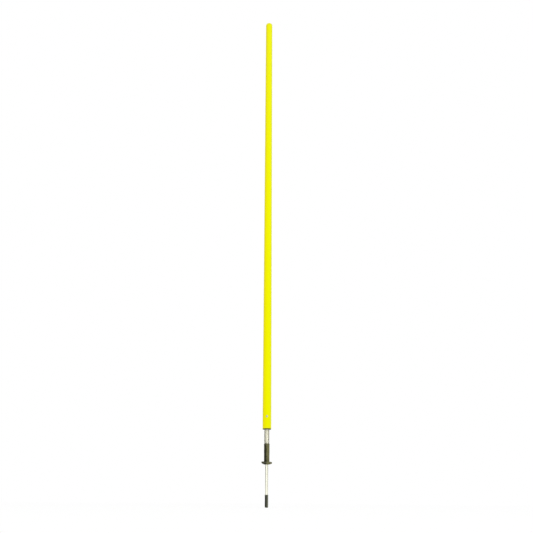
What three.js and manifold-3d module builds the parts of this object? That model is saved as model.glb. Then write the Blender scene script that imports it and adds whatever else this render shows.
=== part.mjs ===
// Slalom pole on a spring foot: a yellow tube that bends over when a player hits it, then springs back up.
// Millimetres, +Z up. The ground is z = 0: the rubber disc lies on the turf and the spike goes in below it.
// Every piece is turned round the pole's axis, so most shapes are profiles of [radius, height] round Z.

import * as THREE from "three";
import { mergeVertices } from "three/addons/utils/BufferGeometryUtils.js";
import Module from "manifold-3d";

const wasm = await Module();
wasm.setup();

// Clearances
const seatGap = 0.3; // between a piece and the shoulder that it rests on
const boreGap = 0.3; // all round a shaft in its hole
const gripGap = 0.2; // between the spring's outside and the pocket that hides its end
const cutOverrun = 1; // how far a cutting shape runs past the face that it cuts

// Pole tube: extruded plastic, one inch across
const tubeOuterDiameter = 25.4;
const tubeWall = 1.6;
const tubeLength = 1609;
const tubeEdgeChamfer = 0.4;

// Top cap: a push-in cap with a low dome
const capRimHeight = 1.8;
const capDomeHeight = 6.2;
const capDomeFullness = 2.6; // 2 gives an ellipse, more gives squarer shoulders
const capCrownThickness = 2.4;
const capSkirtLength = 20;
const capSkirtWall = 1.5;
const capSkirtInset = 0.5; // how far the skirt lies inside its own grip rings
const capGripRings = 4;
const capLeadIn = 1.2;

// Bend spring: round wire, wound right-handed, whose end coils draw in to grip the rod and the bolt
const wireDiameter = 2.4;
const springOuterDiameter = 15.4; // of the bare coils
const endCoilGap = 0.5; // between the end coils and the rod or bolt in them, with room for facets
const taperTurns = 1; // turns over which the coil widens above the boot and narrows below the plug
const coilGap = 0.5;
const springExposedLength = 40;
const springSocketDepth = 12; // how much of the spring the plug hides
const springPocketDepth = 12; // how much of the spring the boot hides
const legBendRadius = 2.4; // where the wire turns from the last coil into its straight leg
const curlSteps = 8;
const wireSides = 5;
const legBendSteps = 3;
const gapSamplesPerTurn = 64;

// Spring plug: moulded nylon in the tube's mouth, with a lip, a socket for the spring and a cored-out top
const plugLipThickness = 1.6;
const plugLipInset = 0.3; // how far the lip's edge lies inside the tube's outside
const plugLipChamfer = 0.5;
const plugLength = 46;
const plugGripRings = 3;
const plugGripRingHeight = 2.4;
const plugBodyInset = 0.5;
const plugBossRadius = 7;
const plugCoreDepth = 8;
const plugOuterWall = 1.5;
const plugWebs = 6;
const plugWebThickness = 1.4;
const plugLeadIn = 1.5;

// Spring bolt: its head sits on the plug's boss and its shank fills the spring's upper coils
const boltDiameter = 8;
const boltReach = 5; // how far the shank shows below the plug's lip
const boltHeadAcrossFlats = 13;
const boltHeadHeight = 5.3;
const boltEndChamfer = 0.8;
const boltCornerSlope = 30; // degrees, at which the head's upper corners are turned off
const hexSides = 6;

// Blind rivet through the tube's wall into the plug
const rivetHeight = 34; // above the tube's lower end
const rivetShankDiameter = 4;
const rivetShankLength = 5.8; // from the tube's outside
const rivetHeadDiameter = 6.5;
const rivetHeadHeight = 1.2;
const rivetHeadEdge = 0.35;
const rivetHeadSkirt = 0.6; // reaches down round the curved wall before it is cut to fit
const rivetSaddleGap = 0.15;
const mandrelDiameter = 1.9;
const mandrelRecess = 0.5;
const mandrelHeadDiameter = 3.3;
const mandrelHeadHeight = 0.9;

// Ground spike: plain round steel rod
const spikeDiameter = 8;
const spikeExposedLength = 80; // between the disc and the tip cap
const spikePointLength = 18;
const spikePointRadius = 0.8;
const spikeTopChamfer = 0.8;
const spikeReach = 5; // how far the rod shows above the boot's mouth, inside the spring

// Stop collar welded to the rod, which carries the spring's lower end
const collarThickness = 3;
const collarChamfer = 0.4;

// Rubber boot: a sleeve with a bead at its mouth and a soft disc at its foot
const bootHeight = 57;
const bootMouthWall = 0.8;
const bootTaper = 0.2; // how much slimmer the sleeve is above its flare than at its mouth
const beadHeight = 3.4;
const beadProud = 0.2;
const discDiameter = 31;
const discThickness = 4.2; // near the sleeve
const discRimThickness = 4.8;
const discFlatRadius = 8.5;
const discCurl = 1.8; // how far the outermost edge of the soft disc lifts
const flareHeight = 9;
const flareReach = 4.2;

// Tip cap: dipped vinyl, pushed over the point
const tipCapLength = 33;
const tipCapWall = 0.8;
const tipCapFloor = 3;
const tipCapLipHeight = 4;
const tipCapLipFlare = 0.35;
const tipCapEndRounding = 2.4;

// Fineness of the round shapes
const turnSteps = 36;
const smallTurnSteps = 20;
const arcSteps = 6;
const domeSteps = 9;
const curlRings = 3;
const tipCapTurnSteps = 32;

// Radii and heights that follow
const tubeOuterRadius = tubeOuterDiameter / 2;
const tubeInnerRadius = tubeOuterRadius - tubeWall;
const spikeRadius = spikeDiameter / 2;
const rodHoleRadius = spikeRadius + boreGap;
const boltRadius = boltDiameter / 2;
const wireRadius = wireDiameter / 2;
const coilPitch = wireDiameter + coilGap;
const bareCoilRadius = springOuterDiameter / 2 - wireRadius;
const endCoilRadius = Math.max(spikeRadius, boltRadius) + endCoilGap + wireRadius;
const endOuterRadius = endCoilRadius + wireRadius;
const pocketRadius = endOuterRadius + gripGap;
const bootMouthRadius = pocketRadius + bootMouthWall;
const bootWaistRadius = bootMouthRadius - bootTaper;

const plugBottom = bootHeight + springExposedLength;
const tubeBottom = plugBottom + plugLipThickness + seatGap;
const tubeTop = tubeBottom + tubeLength;
const capBottom = tubeTop + seatGap;
const pocketFloor = bootHeight - springPocketDepth - seatGap - collarThickness - seatGap;
const collarBottom = pocketFloor + seatGap;
const springBottom = collarBottom + collarThickness + seatGap;
const springTop = plugBottom + springSocketDepth;
const tipCapBottom = -spikeExposedLength - tipCapLength;
const spikeBottom = tipCapBottom + tipCapFloor + seatGap;
const spikeTop = bootHeight + spikeReach;

// Materials, one for each stock that the pole is made from
const yellowTube = new THREE.MeshStandardMaterial({ color: "#f2f000", roughness: 0.38, metalness: 0 });
const yellowCap = new THREE.MeshStandardMaterial({ color: "#eeea05", roughness: 0.5, metalness: 0 });
const blackNylon = new THREE.MeshStandardMaterial({ color: "#1c1d1a", roughness: 0.6, metalness: 0 });
const springSteel = new THREE.MeshStandardMaterial({ color: "#c9c7bd", roughness: 0.3, metalness: 1 });
const zincSteel = new THREE.MeshStandardMaterial({ color: "#d8d6cc", roughness: 0.35, metalness: 1 });
const rivetAluminium = new THREE.MeshStandardMaterial({ color: "#cfc4c2", roughness: 0.4, metalness: 1 });
const blackRubber = new THREE.MeshStandardMaterial({ color: "#2b2c24", roughness: 0.8, metalness: 0 });
const blackVinyl = new THREE.MeshStandardMaterial({ color: "#23241e", roughness: 0.55, metalness: 0 });

// Solids and meshes

// A closed geometry as a solid that can be joined and cut.
function solidFrom(geometry) {
  const bare = geometry.clone();
  bare.deleteAttribute("normal");
  bare.deleteAttribute("uv");
  const merged = mergeVertices(bare);
  return new wasm.Manifold(
    new wasm.Mesh({
      numProp: 3,
      vertProperties: new Float32Array(merged.attributes.position.array),
      triVerts: new Uint32Array(merged.index.array),
    }),
  );
}

// A solid back as a geometry with flat shading.
function geometryFrom(solid) {
  const { vertProperties, triVerts } = solid.getMesh();
  const indexed = new THREE.BufferGeometry();
  indexed.setAttribute("position", new THREE.BufferAttribute(new Float32Array(vertProperties), 3));
  indexed.setIndex(new THREE.BufferAttribute(new Uint32Array(triVerts), 1));
  const geometry = indexed.toNonIndexed();
  geometry.computeVertexNormals();
  return geometry;
}

// A profile of [radius, height] points turned round Z: out along the bottom, then up the outside.
function turned(profile, steps) {
  const points = profile.map(([radius, height]) => new THREE.Vector2(radius, height));
  return new THREE.LatheGeometry(points, steps).rotateX(Math.PI / 2);
}

// The same for a ring, whose profile comes back to its first point.
function turnedRing(profile, steps) {
  return turned([...profile, profile[0]], steps);
}

// Points of an ellipse's arc between two angles in degrees, both ends included.
function arc([centreRadius, centreHeight], [acrossRadius, upRadius], fromDegrees, toDegrees, steps) {
  return Array.from({ length: steps + 1 }, (_, i) => {
    const angle = THREE.MathUtils.degToRad(THREE.MathUtils.lerp(fromDegrees, toDegrees, i / steps));
    return [centreRadius + acrossRadius * Math.cos(angle), centreHeight + upRadius * Math.sin(angle)];
  });
}

function meshOf(name, geometry, material, height) {
  const mesh = new THREE.Mesh(geometry, material);
  mesh.name = name;
  mesh.position.z = height;
  return mesh;
}

// A round bar along Z from one height to another.
function roundBar(radius, bottom, top, steps) {
  return turned([[0, bottom], [radius, bottom], [radius, top], [0, top]], steps);
}

// Pole tube, with the rivet's hole in its front wall

function poleTube() {
  const innerChamfer = tubeEdgeChamfer / 2;
  const tube = solidFrom(
    turnedRing(
      [
        [tubeInnerRadius, innerChamfer],
        [tubeInnerRadius + innerChamfer, 0],
        [tubeOuterRadius - tubeEdgeChamfer, 0],
        [tubeOuterRadius, tubeEdgeChamfer],
        [tubeOuterRadius, tubeLength - tubeEdgeChamfer],
        [tubeOuterRadius - tubeEdgeChamfer, tubeLength],
        [tubeInnerRadius + innerChamfer, tubeLength],
        [tubeInnerRadius, tubeLength - innerChamfer],
      ],
      turnSteps,
    ),
  );
  const drill = roundBar(
    rivetShankDiameter / 2 + boreGap,
    tubeInnerRadius - cutOverrun,
    tubeOuterRadius + cutOverrun,
    smallTurnSteps,
  );
  const hole = solidFrom(drill.rotateX(Math.PI / 2).translate(0, 0, rivetHeight));
  return meshOf("pole_tube", geometryFrom(tube.subtract(hole)), yellowTube, tubeBottom);
}

// Top cap: a hollow skirt with grip rings under a rim as wide as the tube, and a low dome

function topCap() {
  const gripRadius = tubeInnerRadius - boreGap;
  const skirtRadius = gripRadius - capSkirtInset;
  const hollowRadius = skirtRadius - capSkirtWall;
  const ceiling = capRimHeight + capDomeHeight - capCrownThickness;
  const ringPitch = (capSkirtLength - capLeadIn) / capGripRings;
  // Each ring is a saw tooth: it slopes on the way in and stands square on the way out.
  const grips = Array.from({ length: capGripRings }, (_, i) => {
    const low = -capSkirtLength + capLeadIn + i * ringPitch;
    return [
      [skirtRadius, low],
      [gripRadius, low + ringPitch / 2],
      [skirtRadius, low + ringPitch / 2],
    ];
  }).flat();
  const dome = Array.from({ length: domeSteps + 1 }, (_, i) => {
    const angle = (Math.PI / 2) * (i / domeSteps);
    const shape = (share) => Math.max(0, share) ** (2 / capDomeFullness);
    return [
      i === domeSteps ? 0 : tubeOuterRadius * shape(Math.cos(angle)),
      capRimHeight + capDomeHeight * shape(Math.sin(angle)),
    ];
  });
  const profile = [
    [0, ceiling],
    [hollowRadius, ceiling - capCrownThickness],
    [hollowRadius, -capSkirtLength],
    [skirtRadius - capLeadIn / 2, -capSkirtLength],
    ...grips,
    [skirtRadius, 0],
    [tubeOuterRadius - tubeEdgeChamfer, 0],
    [tubeOuterRadius, tubeEdgeChamfer],
    ...dome,
  ];
  return meshOf("top_cap", turned(profile, turnSteps), yellowCap, capBottom);
}

// Spring plug, measured from its lip's underside

function springPlug() {
  const lipRadius = tubeOuterRadius - plugLipInset;
  const gripRadius = tubeInnerRadius - boreGap;
  const bodyRadius = gripRadius - plugBodyInset;
  const boltHoleRadius = boltRadius + boreGap;
  const coreRadius = bodyRadius - plugOuterWall;
  const top = plugLipThickness + seatGap + plugLength;
  const ringPitch = (plugLength - plugLeadIn) / plugGripRings;
  const grips = Array.from({ length: plugGripRings }, (_, i) => {
    const low = plugLipThickness + seatGap + i * ringPitch;
    return [
      [bodyRadius, low],
      [gripRadius, low],
      [gripRadius, low + plugGripRingHeight],
      [bodyRadius, low + plugGripRingHeight + plugBodyInset],
    ];
  }).flat();
  const profile = [
    [pocketRadius, 0],
    [lipRadius - plugLipChamfer, 0],
    [lipRadius, plugLipChamfer],
    [lipRadius, plugLipThickness],
    [bodyRadius, plugLipThickness],
    ...grips,
    [bodyRadius, top - plugLeadIn],
    [bodyRadius - plugLeadIn / 2, top],
    [coreRadius, top],
    [coreRadius, top - plugCoreDepth],
    [plugBossRadius, top - plugCoreDepth],
    [plugBossRadius, top],
    [boltHoleRadius, top],
    [boltHoleRadius, springSocketDepth],
    [pocketRadius, springSocketDepth],
  ];
  let plug = solidFrom(turnedRing(profile, turnSteps));

  // Webs across the cored-out ring, as a moulding has to keep its outer wall round
  const webLength = coreRadius + plugOuterWall / 2 - boltHoleRadius - boreGap;
  for (let i = 0; i < plugWebs; i++) {
    const web = new THREE.BoxGeometry(webLength, plugWebThickness, plugCoreDepth)
      .translate(boltHoleRadius + boreGap + webLength / 2, 0, top - seatGap - plugCoreDepth / 2)
      .rotateZ((2 * Math.PI * i) / plugWebs);
    plug = plug.add(solidFrom(web));
  }

  // Blind hole for the rivet, from the front
  const holeBottomRadius = tubeOuterRadius - rivetShankLength - seatGap - mandrelHeadHeight - seatGap;
  const drill = roundBar(
    rivetShankDiameter / 2 + boreGap,
    holeBottomRadius,
    tubeOuterRadius + cutOverrun,
    smallTurnSteps,
  );
  const rivetZ = plugLipThickness + seatGap + rivetHeight;
  const hole = solidFrom(drill.rotateX(Math.PI / 2).translate(0, 0, rivetZ));
  return meshOf("spring_plug", geometryFrom(plug.subtract(hole)), blackNylon, plugBottom);
}

// Spring bolt, measured from the underside of its head

function springBolt() {
  const headSeat = plugLipThickness + seatGap + plugLength + seatGap;
  const shankLength = headSeat + boltReach;
  const shank = solidFrom(
    turned(
      [
        [0, -shankLength],
        [boltRadius - boltEndChamfer, -shankLength],
        [boltRadius, -shankLength + boltEndChamfer],
        [boltRadius, boltHeadHeight / 2],
        [0, boltHeadHeight / 2],
      ],
      turnSteps,
    ),
  );
  const cornerRadius = boltHeadAcrossFlats / 2 / Math.cos(Math.PI / hexSides);
  const head = solidFrom(roundBar(cornerRadius, 0, boltHeadHeight, hexSides));
  // The corners of the hexagon are turned off on its upper side, down to where the cone meets them.
  const cornerFall = Math.tan(THREE.MathUtils.degToRad(boltCornerSlope));
  const rimRadius = cornerRadius + cutOverrun;
  const rimHeight = boltHeadHeight - (rimRadius - boltHeadAcrossFlats / 2) * cornerFall;
  const rounding = solidFrom(
    turned(
      [
        [0, 0],
        [rimRadius, 0],
        [rimRadius, rimHeight],
        [boltHeadAcrossFlats / 2, boltHeadHeight],
        [0, boltHeadHeight],
      ],
      turnSteps,
    ),
  );
  const bolt = head.intersect(rounding).add(shank);
  return meshOf("spring_bolt", geometryFrom(bolt), zincSteel, plugBottom + headSeat);
}

// Blind rivet, modelled along +Z with the tube's outside at z = 0, then laid on the front of the tube

function rivetBody() {
  const shankRadius = rivetShankDiameter / 2;
  const headRadius = rivetHeadDiameter / 2;
  const holeRadius = mandrelDiameter / 2 + boreGap;
  const dome = arc(
    [holeRadius, rivetHeadEdge],
    [headRadius - holeRadius, rivetHeadHeight - rivetHeadEdge],
    0,
    90,
    arcSteps,
  );
  const body = solidFrom(
    turnedRing(
      [
        [holeRadius, -rivetShankLength],
        [shankRadius, -rivetShankLength],
        [shankRadius, -rivetHeadSkirt],
        [headRadius, -rivetHeadSkirt],
        ...dome,
      ],
      smallTurnSteps,
    ),
  );
  // The underside of the head follows the round wall of the tube; the shank inside the hole stays.
  const wall = roundBar(
    tubeOuterRadius + rivetSaddleGap,
    -headRadius - cutOverrun,
    headRadius + cutOverrun,
    turnSteps,
  );
  const saddle = solidFrom(wall.rotateX(Math.PI / 2).translate(0, 0, -tubeOuterRadius));
  const keep = solidFrom(
    turned(
      [
        [0, -rivetShankLength - cutOverrun],
        [shankRadius, -rivetShankLength - cutOverrun],
        [shankRadius, rivetHeadEdge],
        [0, rivetHeadEdge],
      ],
      smallTurnSteps,
    ),
  );
  return meshOf("rivet_body", geometryFrom(body.subtract(saddle.subtract(keep))), rivetAluminium, 0);
}

function rivetMandrel() {
  const stemRadius = mandrelDiameter / 2;
  const headRadius = mandrelHeadDiameter / 2;
  const headTop = -rivetShankLength - seatGap;
  const profile = [
    [0, headTop - mandrelHeadHeight],
    [headRadius / 2, headTop - mandrelHeadHeight],
    [headRadius, headTop - mandrelHeadHeight / 2],
    [headRadius, headTop],
    [stemRadius, headTop],
    [stemRadius, rivetHeadHeight - mandrelRecess],
    [0, rivetHeadHeight - mandrelRecess],
  ];
  return meshOf("rivet_mandrel", turned(profile, smallTurnSteps), zincSteel, 0);
}

// Bend spring: one wire whose straight legs stand square on the collar and against the socket's ceiling

// The wire's middle line as [way round an end coil, height above its foot]: leg, bend, coils, bend, leg.
function springRoute() {
  const height = springTop - springBottom - seatGap;
  const lead = Math.atan2(coilPitch, 2 * Math.PI * endCoilRadius);
  const bendTurn = Math.PI / 2 - lead;
  const bendAcross = legBendRadius * (1 - Math.cos(bendTurn));
  const bendUp = legBendRadius * Math.sin(bendTurn);
  const coilsUp = height - 2 * (wireDiameter + bendUp);
  const turns = coilsUp / coilPitch;
  const coilsAcross = turns * 2 * Math.PI * endCoilRadius;
  const across = 2 * bendAcross + coilsAcross;
  // The lower leg and bend; the upper ones are the same, turned half round the middle of the wire.
  const lowerLeg = [[0, 0], [0, wireDiameter]];
  const lowerBend = Array.from({ length: legBendSteps }, (_, i) => {
    const angle = (bendTurn * (i + 1)) / legBendSteps;
    return [legBendRadius * (1 - Math.cos(angle)), wireDiameter + legBendRadius * Math.sin(angle)];
  });
  const lower = [...lowerLeg, ...lowerBend];
  const upper = lower.map(([s, z]) => [across - s, height - z]).reverse();
  const coil = (steps) =>
    Array.from({ length: steps - 1 }, (_, i) => {
      const share = (i + 1) / steps;
      return [bendAcross + coilsAcross * share, wireDiameter + bendUp + coilsUp * share];
    });
  const route = (stepsPerTurn) => [...lower, ...coil(Math.round(turns * stepsPerTurn)), ...upper];
  return { route, turns };
}

// The coil's radius at a height above its foot. The bare coils are wide, those in boot and plug narrow.
function coilRadiusAt(height) {
  const bootMouth = bootHeight - springBottom + wireRadius + seatGap;
  const plugMouth = plugBottom - springBottom - wireRadius - seatGap;
  const fromMouth = Math.min(height - bootMouth, plugMouth - height);
  const share = THREE.MathUtils.smoothstep(fromMouth, 0, taperTurns * coilPitch);
  return THREE.MathUtils.lerp(endCoilRadius, bareCoilRadius, share);
}

// A point of the unrolled route, laid round the coil.
function onCoil([across, height]) {
  const angle = across / endCoilRadius;
  const radius = coilRadiusAt(height);
  return new THREE.Vector3(radius * Math.cos(angle), radius * Math.sin(angle), height);
}

// The least gap between two stretches of the wire that are half a turn or more apart along it.
function leastCoilGap(route) {
  const points = route(gapSamplesPerTurn).map(onCoil);
  const apart = gapSamplesPerTurn / 2;
  let least = Infinity;
  points.forEach((point, i) => {
    for (let j = i + apart; j < points.length; j++) least = Math.min(least, point.distanceTo(points[j]));
  });
  return least - wireDiameter;
}

function bendSpring() {
  const { route, turns } = springRoute();
  const leastGap = leastCoilGap(route).toFixed(2);
  console.log(`bend_spring: ${turns.toFixed(1)} turns, least gap to itself ${leastGap} mm`);
  const line = route(curlSteps);
  const last = line.length - 1;
  const positions = [];
  const ring = (i) => Array.from({ length: wireSides }, (_, k) => i * wireSides + k);
  line.forEach((place, i) => {
    const centre = onCoil(place);
    const outward = new THREE.Vector3(centre.x, centre.y, 0).normalize();
    // The wire runs from its last point to its next one, and its two cut ends are square.
    const along =
      i === 0 || i === last
        ? new THREE.Vector3(0, 0, 1)
        : onCoil(line[i + 1]).sub(onCoil(line[i - 1])).normalize();
    const side = new THREE.Vector3().crossVectors(along, outward).normalize();
    for (let k = 0; k < wireSides; k++) {
      const angle = (2 * Math.PI * k) / wireSides;
      const corner = centre
        .clone()
        .addScaledVector(outward, wireRadius * Math.cos(angle))
        .addScaledVector(side, wireRadius * Math.sin(angle));
      positions.push(corner.x, corner.y, corner.z);
    }
  });
  const faces = [];
  for (let i = 0; i < last; i++) {
    const [a, b] = [ring(i), ring(i + 1)];
    for (let k = 0; k < wireSides; k++) {
      const next = (k + 1) % wireSides;
      faces.push(a[k], a[next], b[next], a[k], b[next], b[k]);
    }
  }
  const [first, end] = [ring(0), ring(last)];
  for (let k = 1; k < wireSides - 1; k++) {
    faces.push(first[0], first[k + 1], first[k], end[0], end[k], end[k + 1]);
  }
  const geometry = new THREE.BufferGeometry();
  geometry.setAttribute("position", new THREE.Float32BufferAttribute(positions, 3));
  geometry.setIndex(faces);
  geometry.computeVertexNormals();
  return meshOf("bend_spring", geometry, springSteel, springBottom);
}

// Ground spike, from its point inside the tip cap to its top inside the spring

function groundSpike() {
  const profile = [
    [0, spikeBottom],
    [spikePointRadius, spikeBottom],
    [spikeRadius, spikeBottom + spikePointLength],
    [spikeRadius, spikeTop - spikeTopChamfer],
    [spikeRadius - spikeTopChamfer, spikeTop],
    [0, spikeTop],
  ];
  return meshOf("ground_spike", turned(profile, turnSteps), zincSteel, 0);
}

function stopCollar() {
  const profile = [
    [rodHoleRadius, 0],
    [endOuterRadius - collarChamfer, 0],
    [endOuterRadius, collarChamfer],
    [endOuterRadius, collarThickness - collarChamfer],
    [endOuterRadius - collarChamfer, collarThickness],
    [rodHoleRadius, collarThickness],
  ];
  return meshOf("stop_collar", turnedRing(profile, turnSteps), zincSteel, collarBottom);
}

// Rubber boot: a flat foot, a thick soft disc that curls up, a flare, a tapered sleeve and a beaded mouth

function rubberBoot() {
  const discRadius = discDiameter / 2;
  const rimRadius = discRimThickness / 2;
  const rimCentre = [discRadius - rimRadius, rimRadius];
  const rim = arc(rimCentre, [rimRadius, rimRadius], -90, 90, arcSteps);
  const flareEnd = bootWaistRadius + flareReach;
  const flare = arc([flareEnd, flareHeight], [flareReach, flareHeight - discThickness], 270, 180, arcSteps);
  // Past the flat foot, the curl's lift grows with the square of the distance from it.
  const underside = Array.from({ length: curlRings }, (_, i) => {
    return [THREE.MathUtils.lerp(discFlatRadius, discRadius - rimRadius, i / curlRings), 0];
  });
  const curled = [...underside, ...rim, ...flare].map(([radius, height]) => {
    const share = Math.max(0, (radius - discFlatRadius) / (discRadius - discFlatRadius));
    return [radius, height + discCurl * share ** 2];
  });
  const beadMiddle = bootHeight - beadHeight / 2;
  const bead = arc([bootMouthRadius, beadMiddle], [beadProud, beadHeight / 2], -90, 90, arcSteps);
  const profile = [
    [rodHoleRadius, 0],
    ...curled,
    ...bead,
    [pocketRadius, bootHeight],
    [pocketRadius, pocketFloor],
    [rodHoleRadius, pocketFloor],
  ];
  return meshOf("rubber_boot", turnedRing(profile, turnSteps), blackRubber, 0);
}

// Tip cap: a dipped cup with a rounded end and a lip that flares a little where it has been pulled on and off

function tipCap() {
  const innerRadius = spikeRadius + boreGap;
  const outerRadius = innerRadius + tipCapWall;
  const end = arc(
    [outerRadius - tipCapEndRounding, tipCapEndRounding],
    [tipCapEndRounding, tipCapEndRounding],
    -90,
    0,
    arcSteps,
  );
  const profile = [
    [0, 0],
    ...end,
    [outerRadius, tipCapLength - tipCapLipHeight],
    [outerRadius + tipCapLipFlare, tipCapLength],
    [innerRadius + tipCapLipFlare, tipCapLength],
    [innerRadius, tipCapLength - tipCapLipHeight],
    [innerRadius, tipCapFloor],
    [0, tipCapFloor],
  ];
  return meshOf("tip_cap", turned(profile, tipCapTurnSteps), blackVinyl, tipCapBottom);
}

// The pole, assembled

const slalomPole = new THREE.Group();
slalomPole.name = "slalom_pole";

const foot = new THREE.Group();
foot.name = "foot";
foot.add(groundSpike(), stopCollar(), rubberBoot(), tipCap());

const rivet = new THREE.Group();
rivet.name = "rivet";
rivet.position.set(0, -tubeOuterRadius, tubeBottom + rivetHeight);
rivet.rotation.x = Math.PI / 2;
rivet.add(rivetBody(), rivetMandrel());

const pole = new THREE.Group();
pole.name = "pole";
pole.add(poleTube(), topCap(), springPlug(), springBolt(), rivet);

slalomPole.add(foot, bendSpring(), pole);

export default slalomPole;
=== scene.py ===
# %% [markdown]
# # A slalom pole on a spring foot
# The CAD model is the skeleton of this scene. It says where every piece is and how the pole moves, so the
# first step is to load it. Everything below is in the same frame: metres, +Z up, and z = 0 where the rubber
# disc meets the turf. The pole stands on the Z axis and the camera looks along +Y.

# %% Load the frame
import math

import bmesh
import bpy
import numpy as np
from mathutils import Matrix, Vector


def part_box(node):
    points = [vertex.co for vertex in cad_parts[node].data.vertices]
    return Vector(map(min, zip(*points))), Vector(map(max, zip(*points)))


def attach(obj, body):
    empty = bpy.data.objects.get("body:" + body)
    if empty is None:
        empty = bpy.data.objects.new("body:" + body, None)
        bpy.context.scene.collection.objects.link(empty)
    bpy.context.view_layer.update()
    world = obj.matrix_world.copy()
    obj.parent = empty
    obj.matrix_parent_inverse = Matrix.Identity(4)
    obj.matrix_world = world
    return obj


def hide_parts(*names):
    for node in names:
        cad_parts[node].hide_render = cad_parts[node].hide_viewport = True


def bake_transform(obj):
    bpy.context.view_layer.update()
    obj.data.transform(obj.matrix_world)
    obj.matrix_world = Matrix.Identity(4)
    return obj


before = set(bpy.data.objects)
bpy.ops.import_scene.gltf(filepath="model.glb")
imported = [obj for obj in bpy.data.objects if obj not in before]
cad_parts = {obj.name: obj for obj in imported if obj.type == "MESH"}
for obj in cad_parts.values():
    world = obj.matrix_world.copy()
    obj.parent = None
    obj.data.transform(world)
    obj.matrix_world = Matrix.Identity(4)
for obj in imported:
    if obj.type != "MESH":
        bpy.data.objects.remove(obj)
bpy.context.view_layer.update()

MM = 0.001

# %% [markdown]
# ## What the CAD model says
# New pieces lie where the CAD's own solids lie. Their heights and radii are read from those solids' boxes, so
# a piece still fits after the CAD has changed. Sizes of pieces are in millimetres in this lesson, as a maker
# thinks of a pole that is an inch across. Places in the studio are in metres.

# %% Heights and radii, in millimetres
def span(node):
    """Lowest height, highest height and outer radius of a CAD node that is turned round the pole's axis."""
    low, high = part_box(node)
    return low.z / MM, high.z / MM, high.x / MM

tube_low, tube_high, tube_radius = span("pole_tube")
cap_low, cap_high, _ = span("top_cap")
plug_low, plug_high, lip_radius = span("spring_plug")
spring_low, spring_high, spring_radius = span("bend_spring")
_, boot_high, disc_radius = span("rubber_boot")
spike_low, spike_high, spike_radius = span("ground_spike")
tip_low, tip_high, _ = span("tip_cap")
collar_low, _, collar_radius = span("stop_collar")
rivet_low, rivet_high, _ = span("rivet_body")
rivet_height = (rivet_low + rivet_high) / 2
print("tube:", round(tube_radius * 2, 1), "across,", round(tube_high - tube_low), "long, all in mm")
print("rivet at height", round(rivet_height, 1))

# %% [markdown]
# ## The camera
# The photograph was taken from close by and from low down, with the camera tipped up: the yellow tube is
# 6 pixels wide at its top and over 8 at its foot. A camera just above the tip's level that looks up by about
# 23.5 degrees gives that. It also rolls by 0.4 of a degree, because the pole leans a little to the right.

# %% The camera
CAMERA_PLACE = (-0.0044, -1.631, -0.091)
CAMERA_TILT = 23.56
CAMERA_ROLL = 0.39
CAMERA_LENS = 36.03
SEES_FROM, SEES_TO = 0.05, 100

def put_in_scene(name, data):
    """A new object with this data, linked to the scene's collection."""
    made = bpy.data.objects.new(name, data)
    bpy.context.collection.objects.link(made)
    return made

camera = put_in_scene("camera", bpy.data.cameras.new("camera"))
bpy.context.scene.camera = camera
camera.data.lens = CAMERA_LENS
camera.data.clip_start, camera.data.clip_end = SEES_FROM, SEES_TO
camera.matrix_world = (
    Matrix.Translation(CAMERA_PLACE)
    @ Matrix.Rotation(math.radians(90 + CAMERA_TILT), 4, "X")
    @ Matrix.Rotation(math.radians(CAMERA_ROLL), 4, "Z")
)
print("lens", CAMERA_LENS, "mm, tipped up by", CAMERA_TILT, "degrees")

# %% [markdown]
# The view transform is Standard, which shows a colour as it is. The usual one, AgX, makes white grey and
# strong yellow pale, which suits sunlit landscapes better than a white studio.

# %% The view transform
bpy.context.scene.view_settings.view_transform = "Standard"
print("view transform:", bpy.context.scene.view_settings.view_transform)

# %% [markdown]
# ## Nodes and colours
# Three small helpers do the repeated work of the materials. The first starts a shader from nothing. The next
# adds a shader node, gives it its settings and feeds its sockets. The third turns a hex colour, as a painter
# writes it, into the linear light that a renderer adds up.

# %% Nodes and colours
def emptied(owner):
    """Turns on the nodes of a new material or world, and clears them."""
    owner.use_nodes = True
    owner.node_tree.nodes.clear()
    return owner

def add(owner, kind, feeds=None, **settings):
    """Adds a node to a material or world. A feed is another node's output or a plain value."""
    tree = owner.node_tree
    node = tree.nodes.new(kind)
    for name, value in settings.items():
        setattr(node, name, value)
    for socket, value in (feeds or {}).items():
        if isinstance(value, bpy.types.NodeSocket):
            tree.links.new(value, node.inputs[socket])
        else:
            node.inputs[socket].default_value = value
    return node

def colour(code):
    """A hex sRGB colour as linear red, green, blue and alpha. A part v of the colour becomes
    ((v + 0.055) / 1.055)^2.4, or v / 12.92 where it is very dark."""
    parts = np.array([int(code[i : i + 2], 16) for i in (1, 3, 5)]) / 255
    linear = np.where(parts <= 0.04045, parts / 12.92, ((parts + 0.055) / 1.055) ** 2.4)
    return (*linear, 1.0)

print("mid grey #808080 is", round(colour("#808080")[0], 3), "in linear light")

# %% [markdown]
# ## Floor and light
# The pole stands on nothing but white in the photograph, so the world is white wherever the camera, a
# reflection or a view through glass sees it, with a strength of 1. As light it is a little weaker, and a tall
# lamp makes up for that. Together they light a surface at a plain level, where a colour renders as written.

# %% The world's light
WORLD_LIGHT = 0.85
WORLD_SEEN = 1

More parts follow.
